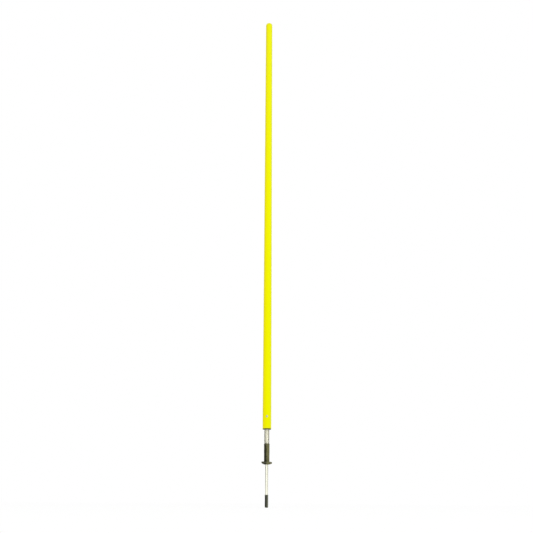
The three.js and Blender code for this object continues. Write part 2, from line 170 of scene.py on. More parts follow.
world = emptied(bpy.data.worlds.new("white_studio"))
bpy.context.scene.world = world
light_path = add(world, "ShaderNodeLightPath").outputs
seen_or_mirrored = add(world, "ShaderNodeMath", operation="ADD", feeds={
    0: light_path["Is Camera Ray"], 1: light_path["Is Glossy Ray"]}).outputs[0]
seen_at_all = add(world, "ShaderNodeMath", operation="ADD", use_clamp=True, feeds={
    0: seen_or_mirrored, 1: light_path["Is Transmission Ray"]}).outputs[0]
world_as_light = add(world, "ShaderNodeBackground", {"Strength": WORLD_LIGHT, "Color": (1, 1, 1, 1)})
world_as_backdrop = add(world, "ShaderNodeBackground", {"Strength": WORLD_SEEN, "Color": (1, 1, 1, 1)})
world_mix = add(world, "ShaderNodeMixShader", {
    "Fac": seen_at_all, 1: world_as_light.outputs[0], 2: world_as_backdrop.outputs[0]})
add(world, "ShaderNodeOutputWorld", {"Surface": world_mix.outputs[0]})
print("world light", WORLD_LIGHT, "and", WORLD_SEEN, "where it is seen")

# %% [markdown]
# The lamp is a tall softbox in front of the pole and to its right. A bare bulb would throw a hard shadow and
# a small glint. The softbox stands five metres off, so that it lights the pole alike from top to bottom, also
# when the pole is bent over towards it.

# %% The lamp
LAMP_PLACE = (1.8, -4.9, 1.5)
LAMP_AIM = (0, 0, 0.8)
LAMP_SIZE = (1.2, 3.0)
LAMP_POWER = 50

lamp = put_in_scene("tall_softbox", bpy.data.lights.new("tall_softbox", "AREA"))
lamp.data.shape = "RECTANGLE"
lamp.data.size, lamp.data.size_y = LAMP_SIZE
lamp.data.energy = LAMP_POWER
lamp.visible_camera = False
lamp.location = LAMP_PLACE
lamp_way = np.subtract(LAMP_AIM, LAMP_PLACE)
lamp_drop = math.atan2(math.hypot(lamp_way[0], lamp_way[1]), -lamp_way[2])
lamp.rotation_euler = (lamp_drop, 0, math.atan2(lamp_way[1], lamp_way[0]) - math.pi / 2)
print("lamp", round(float(np.linalg.norm(lamp_way)), 2), "m away,", LAMP_POWER, "W")

# %% [markdown]
# A metal shows what stands around it, and in an all-white room bright steel hardly shows at all. So
# photographers put black cards beside it, and its edges go dark. These two cards do that. Only reflections
# see them, so they throw no shadow and may stand within the camera's view.

# %% The black cards
CARD_LOW, CARD_HIGH = 0.0, 4.0
CARDS = {"left": ((-0.7, -0.2), (-0.7, 1.9)), "right": ((0.7, -0.1), (0.7, 1.5))}

card_black = emptied(bpy.data.materials.new("black_card"))
card_face = add(card_black, "ShaderNodeBsdfDiffuse", {"Color": colour("#101010")})
add(card_black, "ShaderNodeOutputMaterial", {"Surface": card_face.outputs[0]})
for side, (near, far) in CARDS.items():
    card_mesh = bpy.data.meshes.new("black_card_" + side)
    card_mesh.from_pydata([(*near, CARD_LOW), (*far, CARD_LOW), (*far, CARD_HIGH), (*near, CARD_HIGH)],
                          [], [(0, 1, 2, 3)])
    card_mesh.materials.append(card_black)
    card = put_in_scene("black_card_" + side, card_mesh)
    card.visible_camera = card.visible_diffuse = card.visible_transmission = card.visible_shadow = False
print("cards up to", CARD_HIGH, "m")

# %% [markdown]
# The floor is a sheet of opal acrylic, as on a photographer's light table. To the camera it glows just enough
# to look white, and it takes the pole's shadow and fades into the white behind it, so that it has no horizon.
# The camera looks along it from very low down. The tip cap slides off the spike downwards, and it still shows
# through the sheet. From underneath, the sheet is clear.

# %% The floor
FLOOR_SIZE = 30.0
FLOOR_GAP = 0.1

floor_level = (tip_low - FLOOR_GAP) * MM
floor_corners = [(x * FLOOR_SIZE / 2, y * FLOOR_SIZE / 2, floor_level)
                 for x, y in ((-1, -1), (1, -1), (1, 1), (-1, 1))]
floor_mesh = bpy.data.meshes.new("opal_floor")
floor_mesh.from_pydata(floor_corners, [], [(0, 1, 2, 3)])
floor = put_in_scene("opal_floor", floor_mesh)
print("floor at", round(floor_level / MM, 1), "mm")

# %% [markdown]
# The sheet's shader mixes a white face that glows with a clear one. It grows clearer with the distance from
# the middle, by a smoothstep, and is wholly clear from underneath. Only the camera sees it clear or glowing.
# To every other ray it is a plain white sheet, which sends light back up at the pole.

# %% Opal acrylic
FLOOR_FADE_FROM, FLOOR_FADE_TO = 0.5, 2.6
FLOOR_SHARE = 0.25
FLOOR_GLOW = 0.1

opal_acrylic = emptied(bpy.data.materials.new("opal_acrylic_sheet"))
floor_distance = add(opal_acrylic, "ShaderNodeVectorMath", operation="LENGTH", feeds={
    0: add(opal_acrylic, "ShaderNodeTexCoord").outputs["Object"]}).outputs["Value"]
floor_clear = add(opal_acrylic, "ShaderNodeMapRange", interpolation_type="SMOOTHSTEP", feeds={
    "Value": floor_distance, "From Min": FLOOR_FADE_FROM, "From Max": FLOOR_FADE_TO,
    "To Min": 1 - FLOOR_SHARE, "To Max": 1}).outputs["Result"]
floor_or_underside = add(opal_acrylic, "ShaderNodeMath", operation="MAXIMUM", feeds={
    0: floor_clear, 1: add(opal_acrylic, "ShaderNodeNewGeometry").outputs["Backfacing"]}).outputs[0]
from_camera = add(opal_acrylic, "ShaderNodeLightPath").outputs["Is Camera Ray"]
clear_to_camera = add(opal_acrylic, "ShaderNodeMath", operation="MULTIPLY", feeds={
    0: floor_or_underside, 1: from_camera}).outputs[0]
glow_to_camera = add(opal_acrylic, "ShaderNodeMath", operation="MULTIPLY", feeds={
    0: from_camera, 1: FLOOR_GLOW}).outputs[0]
white_face = add(opal_acrylic, "ShaderNodeBsdfDiffuse", {"Color": colour("#fdfdfd")})
glowing_face = add(opal_acrylic, "ShaderNodeAddShader", {
    0: white_face.outputs[0],
    1: add(opal_acrylic, "ShaderNodeEmission", {"Strength": glow_to_camera}).outputs[0]})
clear_face = add(opal_acrylic, "ShaderNodeBsdfTransparent")
floor_mix = add(opal_acrylic, "ShaderNodeMixShader", {
    "Fac": clear_to_camera, 1: glowing_face.outputs[0], 2: clear_face.outputs[0]})
add(opal_acrylic, "ShaderNodeOutputMaterial", {"Surface": floor_mix.outputs[0]})
floor_mesh.materials.append(opal_acrylic)
print(opal_acrylic.name, "has", len(opal_acrylic.node_tree.nodes), "nodes")

# %% [markdown]
# ## Surfaces
# Most of the pole is turned or moulded round, so most pieces start as a profile: the outline of half a cut
# through the piece, as radius and height. It runs out along the bottom and up the outside. No real edge is
# perfectly sharp, so each corner of a profile is rounded by a short curve, which catches a line of light. A
# profile that would end on the axis stops 0.1 mm from it. Places within 0.01 mm of each other count as one.

# %% Rounding and filling a profile
NEAR_AXIS = 0.1
TOUCH = 0.01

def softened(corners, cuts, steps=5, closed=False):
    """Rounds the corners of a profile. A corner is swapped for a curve that leaves the outline a cut's length
    before the corner and joins it again a cut's length after it: (1 - t)^2 times its start, plus 2 t (1 - t)
    times the corner, plus t^2 times its end. The two ends of an open profile stay as they are."""
    corners = np.array(corners, float)
    cuts = np.broadcast_to(np.array(cuts, float), len(corners))[:, None]
    back, on = np.roll(corners, 1, 0) - corners, np.roll(corners, -1, 0) - corners
    start = corners + cuts * back / np.linalg.norm(back, axis=1, keepdims=True)
    end = corners + cuts * on / np.linalg.norm(on, axis=1, keepdims=True)
    t = np.linspace(0, 1, steps)[None, :, None]
    curves = (1 - t) ** 2 * start[:, None] + 2 * t * (1 - t) * corners[:, None] + t**2 * end[:, None]
    if closed:
        return curves.reshape(-1, 2)
    return np.vstack([corners[:1], curves[1:-1].reshape(-1, 2), corners[-1:]])

def filled(profile, longest, closed=False):
    """Adds points along the long stretches of a profile, evenly, so that none is longer than this. A stretch
    is cut into its length over the longest, rounded up."""
    ends = np.vstack([profile, profile[:1]]) if closed else profile
    counts = np.maximum(1, np.ceil(np.linalg.norm(np.diff(ends, axis=0), axis=1) / longest)).astype(int)
    stretch = np.repeat(np.arange(len(counts)), counts)
    first = np.repeat(np.cumsum(counts) - counts, counts)
    share = ((np.arange(len(stretch)) - first) / counts[stretch])[:, None]
    points = ends[stretch] + share * (ends[stretch + 1] - ends[stretch])
    return points if closed else np.vstack([points, ends[-1:]])

print("a square corner becomes", len(softened([(0, 0), (5, 0), (5, 5)], 1)) - 2, "points")

# %% [markdown]
# Round edges are arcs. A finished profile is carried round the pole's axis in equal steps, as clay goes round
# on a potter's wheel, and each step is a column of points.

# %% Arcs and turning
def arc(centre, reach, first, last, steps):
    """Points of an ellipse's arc: centre plus reach across times cosine, and reach up times sine."""
    angle = np.radians(np.linspace(first, last, steps))
    return np.array(centre) + np.stack([reach[0] * np.cos(angle), reach[1] * np.sin(angle)], axis=-1)

def angles_round(columns):
    """The angle of each column round a whole turn: 2 pi times its number, over how many there are."""
    return 2 * math.pi * np.arange(columns) / columns

def turned(profile, columns):
    """Carries a profile round Z: x is radius times cosine, y is radius times sine, z is height."""
    angle = angles_round(columns)
    radius, height = profile[:, :1], profile[:, 1:]
    return np.stack([radius * np.cos(angle), radius * np.sin(angle), height + 0 * angle], axis=-1)

print("eight columns are", round(math.degrees(angles_round(8)[1])), "degrees apart")

# %% [markdown]
# A grid of points becomes a mesh when each cell of four neighbours gets a face. A grid that goes round joins
# its last column to its first. Where a profile starts and ends near the axis, a small flat face closes it.

# %% A skin over a grid of points

def skin(name, grid, ring=False):
    """A closed mesh over a grid of points in millimetres: rows along a profile, columns round it. A ring's
    last row joins its first row too."""
    rows, columns = grid.shape[:2]
    index = np.arange(rows * columns).reshape(rows, columns)
    low, high = (index, np.roll(index, -1, 0)) if ring else (index[:-1], index[1:])
    cells = np.stack([low, np.roll(low, -1, 1), np.roll(high, -1, 1), high], axis=-1).reshape(-1, 4)
    ends = [] if ring else [index[0, ::-1].tolist(), index[-1].tolist()]
    mesh = bpy.data.meshes.new(name)
    mesh.from_pydata((grid.reshape(-1, 3) * MM).tolist(), [], cells.tolist() + ends)
    return put_in_scene(name, mesh)

print("a ring of 4 rows and 8 columns has", 4 * 8, "faces")

# %% [markdown]
# Worn places need a map of where hands, turf and the bag rub. Each piece therefore carries a number at each
# point, called wear, which its material reads: 1 at an exposed edge, 0 away from it.

# %% Numbers on a piece
def nearness(grid, places, reach):
    """How close each point of a grid is to the nearest of some places, given as radius and height: 1 there,
    falling off as e to the minus distance over reach."""
    profile = np.stack([np.hypot(grid[..., 0], grid[..., 1]), grid[..., 2]], axis=-1)
    apart = np.linalg.norm(profile[..., None, :] - np.array(places, float), axis=-1)
    return np.exp(-apart.min(axis=-1) / reach)

def mark(piece, name, values):
    """Stores one number at each point of a piece, for its material to read."""
    piece.data.attributes.new(name, "FLOAT", "POINT").data.foreach_set(
        "value", np.ascontiguousarray(values, np.float32).ravel())

print("one reach away, nearness is", round(float(nearness(np.zeros((1, 1, 3)), [(1, 0)], 1)[0, 0]), 2))

# %% [markdown]
# Every finished piece is then dressed alike. It gets its material and its smooth shading, takes the place of
# the CAD's pieces, and rides on one of the CAD's bodies, so that it moves as they do. A piece that bends is
# given no body here.

# %% Dressing a piece
SHARP_ANGLE = math.radians(32)

def dress(piece, material, nodes, body=None):
    """Gives a piece its material and its shading, smooth except at sharp corners, and ties it to the CAD."""
    piece.data.materials.clear()
    piece.data.materials.append(material)
    piece.data.shade_smooth()
    piece.data.set_sharp_from_angle(angle=SHARP_ANGLE)
    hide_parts(*nodes)
    if body:
        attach(piece, body)
    print(piece.name, "stands for", ", ".join(nodes), "with", len(piece.data.polygons), "faces")

print("edges that turn by more than", round(math.degrees(SHARP_ANGLE)), "degrees stay sharp")

# %% [markdown]
# ## Materials
# Each material on the pole has one Principled shader. Values that are the same all over are set on its own
# sockets, and patterns are fed to it. A pattern is worked out from the place on the piece, in metres, so a
# grain of half a millimetre has a noise scale of 1 / 0.0005 = 2000. A pattern that is squashed along one axis
# runs in lines.
#
# Every finish ends alike: its roughness moves between two values with one pattern, and a shallow bump follows
# the same one or another. One function does that for all nine. Another shows a rubbed colour where a piece is
# worn.
#
# A Mix node has sockets for numbers, vectors and colours, and goes by their numbers. Its share is number 0,
# its two colours are 6 and 7, and the colour that comes out is 2.

# %% Helpers for materials
SHARE, FIRST, SECOND, MIXED = 0, 6, 7, 2

def per_mm(size):
    """The noise scale whose grains are this many millimetres across: one over their size in metres."""
    return 1 / (size * MM)

def new_material(name, constants):
    """A material whose shader has these plain values."""
    made = bpy.data.materials.new(name)
    made.use_nodes = True
    for socket, value in constants.items():
        made.node_tree.nodes["Principled BSDF"].inputs[socket].default_value = value
    return made

def worn(material, fresh, rubbed):
    """A material's colour: fresh, and rubbed to another where the piece's wear nears 1."""
    wear = add(material, "ShaderNodeAttribute", attribute_name="wear").outputs["Fac"]
    return add(material, "ShaderNodeMix", data_type="RGBA", feeds={
        SHARE: wear, FIRST: fresh, SECOND: colour(rubbed)}).outputs[MIXED]

def finish(material, base, dulled_by, roughness, relief, strength, depth):
    """Feeds a material's shader its base colour, a roughness between two values that follows the pattern
    dulled_by, and a bump of a depth in millimetres that follows the pattern relief."""
    rough = add(material, "ShaderNodeMapRange", {
        "Value": dulled_by, "To Min": roughness[0], "To Max": roughness[1]}).outputs["Result"]
    bump = add(material, "ShaderNodeBump", {
        "Height": relief, "Strength": strength, "Distance": depth * MM}).outputs["Normal"]
    shader = material.node_tree.nodes["Principled BSDF"]
    for socket, source in {"Base Color": base, "Roughness": rough, "Normal": bump}.items():
        material.node_tree.links.new(source, shader.inputs[socket])
    print(material.name, "has", len(material.node_tree.nodes), "nodes")

print("a grain of 0.5 mm has a noise scale of", round(per_mm(0.5)))

# %% [markdown]
# **Extruded ABS.** The tube is pushed hot through a round die and cooled in water. That leaves it satin, with
# a tint that drifts slowly along it. Its left side is a warmer yellow in the photograph, and the rest is a
# little greener.

# %% Yellow extruded ABS
TINT_DRIFT = 55
WARM_TO, GREEN_FROM = -9, -1

tube_abs = new_material("yellow_extruded_abs", {
    "Specular IOR Level": 0.2, "IOR": 1.53, "Specular Tint": colour("#f4ee30")})
tube_place = add(tube_abs, "ShaderNodeTexCoord").outputs["Object"]
tint_drift = add(tube_abs, "ShaderNodeTexNoise", {
    "Vector": tube_place, "Scale": per_mm(TINT_DRIFT), "Detail": 3}).outputs["Fac"]
tube_tint = add(tube_abs, "ShaderNodeMix", data_type="RGBA", feeds={
    SHARE: tint_drift, FIRST: colour("#f1ef00"), SECOND: colour("#ecf100")}).outputs[MIXED]
tube_green = add(tube_abs, "ShaderNodeMapRange", interpolation_type="SMOOTHSTEP", feeds={
    "Value": add(tube_abs, "ShaderNodeSeparateXYZ", {"Vector": tube_place}).outputs["X"],
    "From Min": WARM_TO * MM, "From Max": GREEN_FROM * MM}).outputs["Result"]
tube_sides = add(tube_abs, "ShaderNodeMix", data_type="RGBA", feeds={
    SHARE: tube_green, FIRST: colour("#f3e900"), SECOND: tube_tint}).outputs[MIXED]
print("the tube's tint drifts over", TINT_DRIFT, "mm")

# %% [markdown]
# The die leaves very faint lines along the tube's whole length. Handling adds short rubbed marks across it,
# and its two ends go dull. Real die lines are finer than 0.3 mm, and are drawn 1.1 mm apart, or they wouldn't
# show.

# %% The tube's lines and rub marks
DIE_LINE = 1.1
DIE_LINE_SQUASH = 0.008
RUB_MARK = 0.7
RUB_SQUASH = 0.12
RUB_FROM, RUB_TO = 0.66, 0.76

tube_stretched = add(tube_abs, "ShaderNodeMapping", {
    "Vector": tube_place, "Scale": (1, 1, DIE_LINE_SQUASH)})
die_lines = add(tube_abs, "ShaderNodeTexNoise", {
    "Vector": tube_stretched.outputs[0], "Scale": per_mm(DIE_LINE), "Detail": 2}).outputs["Fac"]
tube_squeezed = add(tube_abs, "ShaderNodeMapping", {
    "Vector": tube_place, "Scale": (RUB_SQUASH, RUB_SQUASH, 1)})
rub_noise = add(tube_abs, "ShaderNodeTexNoise", {
    "Vector": tube_squeezed.outputs[0], "Scale": per_mm(RUB_MARK), "Detail": 4}).outputs["Fac"]
rub_marks = add(tube_abs, "ShaderNodeMapRange", {
    "Value": rub_noise, "From Min": RUB_FROM, "From Max": RUB_TO}).outputs["Result"]
tube_wear = add(tube_abs, "ShaderNodeAttribute", attribute_name="wear").outputs["Fac"]
tube_dulled = add(tube_abs, "ShaderNodeMath", operation="MAXIMUM", feeds={
    0: rub_marks, 1: tube_wear}).outputs[0]
tube_colour = add(tube_abs, "ShaderNodeMix", data_type="RGBA", feeds={
    SHARE: tube_dulled, FIRST: tube_sides, SECOND: colour("#e6e328")}).outputs[MIXED]
finish(tube_abs, tube_colour, dulled_by=die_lines, roughness=(0.34, 0.5),
       relief=die_lines, strength=0.3, depth=0.05)

# %% [markdown]
# **Moulded polyethylene.** The cap is squirted into a steel mould with an etched face, so it has a fine even
# grain, is softer to the eye than the tube and lets a little light in. The grain is 0.4 mm, drawn at 0.6 mm.

# %% Yellow moulded polyethylene
CAP_GRAIN = 0.6
CAP_CLOUD = 9

cap_polyethylene = new_material("yellow_moulded_polyethylene", {
    "Specular IOR Level": 0.25, "IOR": 1.51, "Specular Tint": colour("#f4ee30"),
    "Subsurface Weight": 0.08, "Subsurface Scale": 2 * MM})
cap_place = add(cap_polyethylene, "ShaderNodeTexCoord").outputs["Object"]
cap_grain = add(cap_polyethylene, "ShaderNodeTexNoise", {
    "Vector": cap_place, "Scale": per_mm(CAP_GRAIN), "Detail": 3}).outputs["Fac"]
cap_cloud = add(cap_polyethylene, "ShaderNodeTexNoise", {
    "Vector": cap_place, "Scale": per_mm(CAP_CLOUD), "Detail": 2}).outputs["Fac"]
cap_tint = add(cap_polyethylene, "ShaderNodeMix", data_type="RGBA", feeds={
    SHARE: cap_cloud, FIRST: colour("#f1ec04"), SECOND: colour("#edee08")}).outputs[MIXED]
finish(cap_polyethylene, worn(cap_polyethylene, cap_tint, "#f4f03c"), dulled_by=cap_grain,
       roughness=(0.42, 0.62), relief=cap_grain, strength=0.5, depth=0.06)

# %% [markdown]
# **Moulded nylon.** The plug is black nylon, hard and slightly shiny, with the swirls that cooling plastic
# leaves where it meets itself in the mould. Its corners turn grey where they rub.

# %% Black moulded nylon
NYLON_SWIRL = 6
NYLON_GRAIN = 0.5

plug_nylon = new_material("black_moulded_nylon", {"Specular IOR Level": 0.18, "IOR": 1.53})
nylon_place = add(plug_nylon, "ShaderNodeTexCoord").outputs["Object"]
nylon_swirl = add(plug_nylon, "ShaderNodeTexNoise", {
    "Vector": nylon_place, "Scale": per_mm(NYLON_SWIRL), "Detail": 4, "Distortion": 1.2}).outputs["Fac"]
nylon_grain = add(plug_nylon, "ShaderNodeTexNoise", {
    "Vector": nylon_place, "Scale": per_mm(NYLON_GRAIN), "Detail": 2}).outputs["Fac"]
nylon_tint = add(plug_nylon, "ShaderNodeMix", data_type="RGBA", feeds={
    SHARE: nylon_swirl, FIRST: colour("#12130d"), SECOND: colour("#24251d")}).outputs[MIXED]
finish(plug_nylon, worn(plug_nylon, nylon_tint, "#4b4c40"), dulled_by=nylon_swirl,
       roughness=(0.4, 0.6), relief=nylon_grain, strength=0.4, depth=0.04)

# %% [markdown]
# **Zinc-plated bar.** The spike is bright-drawn steel bar under a thin coat of zinc. Being pulled through a
# die leaves fine lines along the bar, made 0.5 mm apart here, and the zinc clouds a little. Pushing it into
# turf scratches it along its length, most of all towards the point.

# %% Zinc-plated drawn bar
DRAWN_LINE = 0.5
DRAWN_LINE_SQUASH = 0.03
SCRATCH_FROM, SCRATCH_TO = 0.58, 0.7
ZINC_CLOUD = 11

bar_zinc = new_material("zinc_plated_drawn_bar", {"Metallic": 1.0})
bar_place = add(bar_zinc, "ShaderNodeTexCoord").outputs["Object"]
bar_stretched = add(bar_zinc, "ShaderNodeMapping", {
    "Vector": bar_place, "Scale": (1, 1, DRAWN_LINE_SQUASH)})
drawn_lines = add(bar_zinc, "ShaderNodeTexNoise", {
    "Vector": bar_stretched.outputs[0], "Scale": per_mm(DRAWN_LINE), "Detail": 3}).outputs["Fac"]
zinc_cloud = add(bar_zinc, "ShaderNodeTexNoise", {
    "Vector": bar_place, "Scale": per_mm(ZINC_CLOUD), "Detail": 4}).outputs["Fac"]
bar_tint = add(bar_zinc, "ShaderNodeMix", data_type="RGBA", feeds={
    SHARE: zinc_cloud, FIRST: colour("#e5e4d1"), SECOND: colour("#f0efdf")}).outputs[MIXED]
bar_scratch = add(bar_zinc, "ShaderNodeMapRange", {
    "Value": drawn_lines, "From Min": SCRATCH_FROM, "From Max": SCRATCH_TO}).outputs["Result"]
bar_wear = add(bar_zinc, "ShaderNodeAttribute", attribute_name="wear").outputs["Fac"]
bar_scored = add(bar_zinc, "ShaderNodeMath", operation="MULTIPLY", feeds={
    0: bar_scratch, 1: bar_wear}).outputs[0]
bar_colour = add(bar_zinc, "ShaderNodeMix", data_type="RGBA", feeds={
    SHARE: bar_scored, FIRST: bar_tint, SECOND: colour("#c9c5b4")}).outputs[MIXED]
finish(bar_zinc, bar_colour, dulled_by=zinc_cloud, roughness=(0.26, 0.44),
       relief=drawn_lines, strength=0.35, depth=0.03)

# %% [markdown]
# ** Spring wire.** The spring is hard-drawn wire, plated after it was wound. Its pattern has to follow the
# wire, so the mesh carries two numbers: how far a point is along the wire, in millimetres, and how far round
# it, as a share of a turn. A third number is painted shade: the grooves between coils and the spring's left
# side are painted darker, and the outside of each coil stays bright.

# %% Plated spring wire
WIRE_CLOUD = 7
WIRE_LINES = 26

wire_zinc = new_material("zinc_plated_spring_wire", {"Metallic": 1.0})
wire_along = add(wire_zinc, "ShaderNodeAttribute", attribute_name="along_wire").outputs["Fac"]
wire_round = add(wire_zinc, "ShaderNodeAttribute", attribute_name="round_wire").outputs["Fac"]
wire_painted_shade = add(wire_zinc, "ShaderNodeAttribute", attribute_name="painted_shade").outputs["Fac"]
wire_cloud = add(wire_zinc, "ShaderNodeTexNoise", noise_dimensions="1D", feeds={
    "W": wire_along, "Scale": 1 / WIRE_CLOUD, "Detail": 4}).outputs["Fac"]
wire_lines = add(wire_zinc, "ShaderNodeTexNoise", noise_dimensions="1D", feeds={
    "W": wire_round, "Scale": WIRE_LINES, "Detail": 2}).outputs["Fac"]
wire_tint = add(wire_zinc, "ShaderNodeMix", data_type="RGBA", feeds={
    SHARE: wire_cloud, FIRST: colour("#f5f3df"), SECOND: colour("#fcfae8")}).outputs[MIXED]
# Painted shade: the grooves and the left side are mixed towards a darker grey.
wire_colour = add(wire_zinc, "ShaderNodeMix", data_type="RGBA", feeds={
    SHARE: wire_painted_shade, FIRST: wire_tint, SECOND: colour("#a5a38c")}).outputs[MIXED]
finish(wire_zinc, wire_colour, dulled_by=wire_painted_shade, roughness=(0.24, 0.6),
       relief=wire_lines, strength=0.3, depth=0.03)

# %% [markdown]
# **Plain zinc plate.** The bolt, the stop collar and the rivet's pin are small zinc-plated steel pieces. The
# CAD's own shapes are right for them, so they only get this finish: a grey, faintly cloudy, satin metal.

# %% Zinc plate on small pieces
PLATE_CLOUD = 3
PLATE_GRAIN = 0.3

plate_zinc = new_material("zinc_plated_fastener", {"Metallic": 1.0})
plate_place = add(plate_zinc, "ShaderNodeTexCoord").outputs["Object"]
plate_cloud = add(plate_zinc, "ShaderNodeTexNoise", {
    "Vector": plate_place, "Scale": per_mm(PLATE_CLOUD), "Detail": 4}).outputs["Fac"]
plate_grain = add(plate_zinc, "ShaderNodeTexNoise", {
    "Vector": plate_place, "Scale": per_mm(PLATE_GRAIN), "Detail": 2}).outputs["Fac"]
plate_colour = add(plate_zinc, "ShaderNodeMix", data_type="RGBA", feeds={
    SHARE: plate_cloud, FIRST: colour("#b9b7ac"), SECOND: colour("#dddbd0")}).outputs[MIXED]
finish(plate_zinc, plate_colour, dulled_by=plate_cloud, roughness=(0.3, 0.5),
       relief=plate_grain, strength=0.3, depth=0.02)

# %% [markdown]
# **Aluminium rivet.** A blind rivet's body is soft bare aluminium. Its head is pressed, so it is satin and
# even, and the jaws of the rivet gun leave a dull ring near its hole.

# %% Pressed aluminium
RIVET_GRAIN = 0.25

rivet_aluminium = new_material("pressed_aluminium", {"Metallic": 1.0})
rivet_place = add(rivet_aluminium, "ShaderNodeTexCoord").outputs["Object"]
rivet_grain = add(rivet_aluminium, "ShaderNodeTexNoise", {
    "Vector": rivet_place, "Scale": per_mm(RIVET_GRAIN), "Detail": 3}).outputs["Fac"]
rivet_tint = add(rivet_aluminium, "ShaderNodeMix", data_type="RGBA", feeds={
    SHARE: rivet_grain, FIRST: colour("#ccc8c4"), SECOND: colour("#e0dcd7")}).outputs[MIXED]
finish(rivet_aluminium, worn(rivet_aluminium, rivet_tint, "#8f8986"), dulled_by=rivet_grain,
       roughness=(0.32, 0.48), relief=rivet_grain, strength=0.3, depth=0.02)

# %% [markdown]
# ** Moulded rubber.** The boot is black rubber, filled with carbon and chalk. It isn't quite black: a dull
# olive-grey bloom and dust lie on it in patches of about 8 mm, over a grain of 0.7 mm. Its right side is
# painted lighter as a painted highlight and its left side darker as painted shade, with a border that wanders
# by a few millimetres. The bead at its mouth and the rim of its disc are scuffed paler.

# %% Black moulded rubber
RUBBER_PATCH = 8
DUSTY_FROM, DUSTY_TO = 0.36, 0.66
DUSTIEST = 0.7
# Painted light: the boot's right side is painted lighter and its left side darker.
PAINTED_LIGHT_FROM, PAINTED_LIGHT_TO = -2.6, 0.9
PAINTED_LIGHT_LEFT, PAINTED_LIGHT_RIGHT = -0.4, 0.6
PAINTED_LIGHT_WANDER = 7
PATCH_MIDDLE = 0.5
RUBBER_GRAIN = 0.7

boot_rubber = new_material("black_moulded_rubber", {"Specular IOR Level": 0.1, "IOR": 1.52})
rubber_place = add(boot_rubber, "ShaderNodeTexCoord").outputs["Object"]
rubber_patch = add(boot_rubber, "ShaderNodeTexNoise", {
    "Vector": rubber_place, "Scale": per_mm(RUBBER_PATCH), "Detail": 5, "Roughness": 0.6}).outputs["Fac"]
rubber_grain = add(boot_rubber, "ShaderNodeTexNoise", {
    "Vector": rubber_place, "Scale": per_mm(RUBBER_GRAIN), "Detail": 3}).outputs["Fac"]
rubber_painted_light_border = add(boot_rubber, "ShaderNodeMath", operation="MULTIPLY_ADD", feeds={
    0: add(boot_rubber, "ShaderNodeMath", operation="SUBTRACT", feeds={
        0: rubber_patch, 1: PATCH_MIDDLE}).outputs[0],
    1: PAINTED_LIGHT_WANDER * MM,
    2: add(boot_rubber, "ShaderNodeSeparateXYZ", {"Vector": rubber_place}).outputs["X"]}).outputs[0]
# Painted light: lighter to the right and darker to the left, by the boot's X, added to the real dust.
rubber_painted_light = add(boot_rubber, "ShaderNodeMapRange", interpolation_type="SMOOTHSTEP", feeds={
    "Value": rubber_painted_light_border, "From Min": PAINTED_LIGHT_FROM * MM, "From Max": PAINTED_LIGHT_TO * MM,
    "To Min": PAINTED_LIGHT_LEFT, "To Max": PAINTED_LIGHT_RIGHT}).outputs["Result"]
rubber_dust_and_painted_light = add(boot_rubber, "ShaderNodeMath", operation="ADD", use_clamp=True, feeds={
    0: add(boot_rubber, "ShaderNodeMapRange", {
        "Value": rubber_patch, "From Min": DUSTY_FROM, "From Max": DUSTY_TO,
        "To Max": DUSTIEST}).outputs["Result"],
    1: rubber_painted_light}).outputs[0]
rubber_dusty_and_lit = add(boot_rubber, "ShaderNodeMix", data_type="RGBA", feeds={
    SHARE: rubber_dust_and_painted_light, FIRST: colour("#282815"), SECOND: colour("#706e4b")}).outputs[MIXED]
finish(boot_rubber, worn(boot_rubber, rubber_dusty_and_lit, "#6b6a58"), dulled_by=rubber_dust_and_painted_light,
       roughness=(0.5, 0.8), relief=rubber_grain, strength=0.5, depth=0.08)

# %% [markdown]
# ** Dipped vinyl.** The tip cap is made by dipping a hot steel pin into liquid vinyl. It comes out smoother
# than the rubber, with soft ripples where the vinyl ran. It is chalky in scuffs, and where it has been
# dragged over the ground at its bottom and its lip. Its right side is painted paler as a painted highlight.

# %% Black dipped vinyl
VINYL_RIPPLE = 5
VINYL_SCUFF = 1.2
SCUFF_FROM, SCUFF_TO = 0.5, 0.68
SCUFF_SHARE = 0.25
# The painted highlight: how far it spreads across the cap's X, and how pale it gets.
TIP_PAINTED_LIGHT_FROM, TIP_PAINTED_LIGHT_TO = -2.0, 5.0
TIP_PAINTED_LIGHT_MOST = 0.9

tip_vinyl = new_material("black_dipped_vinyl", {"Specular IOR Level": 0.09, "IOR": 1.53})
vinyl_place = add(tip_vinyl, "ShaderNodeTexCoord").outputs["Object"]
vinyl_ripple = add(tip_vinyl, "ShaderNodeTexNoise", {
    "Vector": vinyl_place, "Scale": per_mm(VINYL_RIPPLE), "Detail": 2}).outputs["Fac"]
vinyl_scuff = add(tip_vinyl, "ShaderNodeTexNoise", {
    "Vector": vinyl_place, "Scale": per_mm(VINYL_SCUFF), "Detail": 4, "Roughness": 0.65}).outputs["Fac"]
vinyl_marks = add(tip_vinyl, "ShaderNodeMapRange", {
    "Value": vinyl_scuff, "From Min": SCUFF_FROM, "From Max": SCUFF_TO}).outputs["Result"]
vinyl_wear = add(tip_vinyl, "ShaderNodeAttribute", attribute_name="wear").outputs["Fac"]
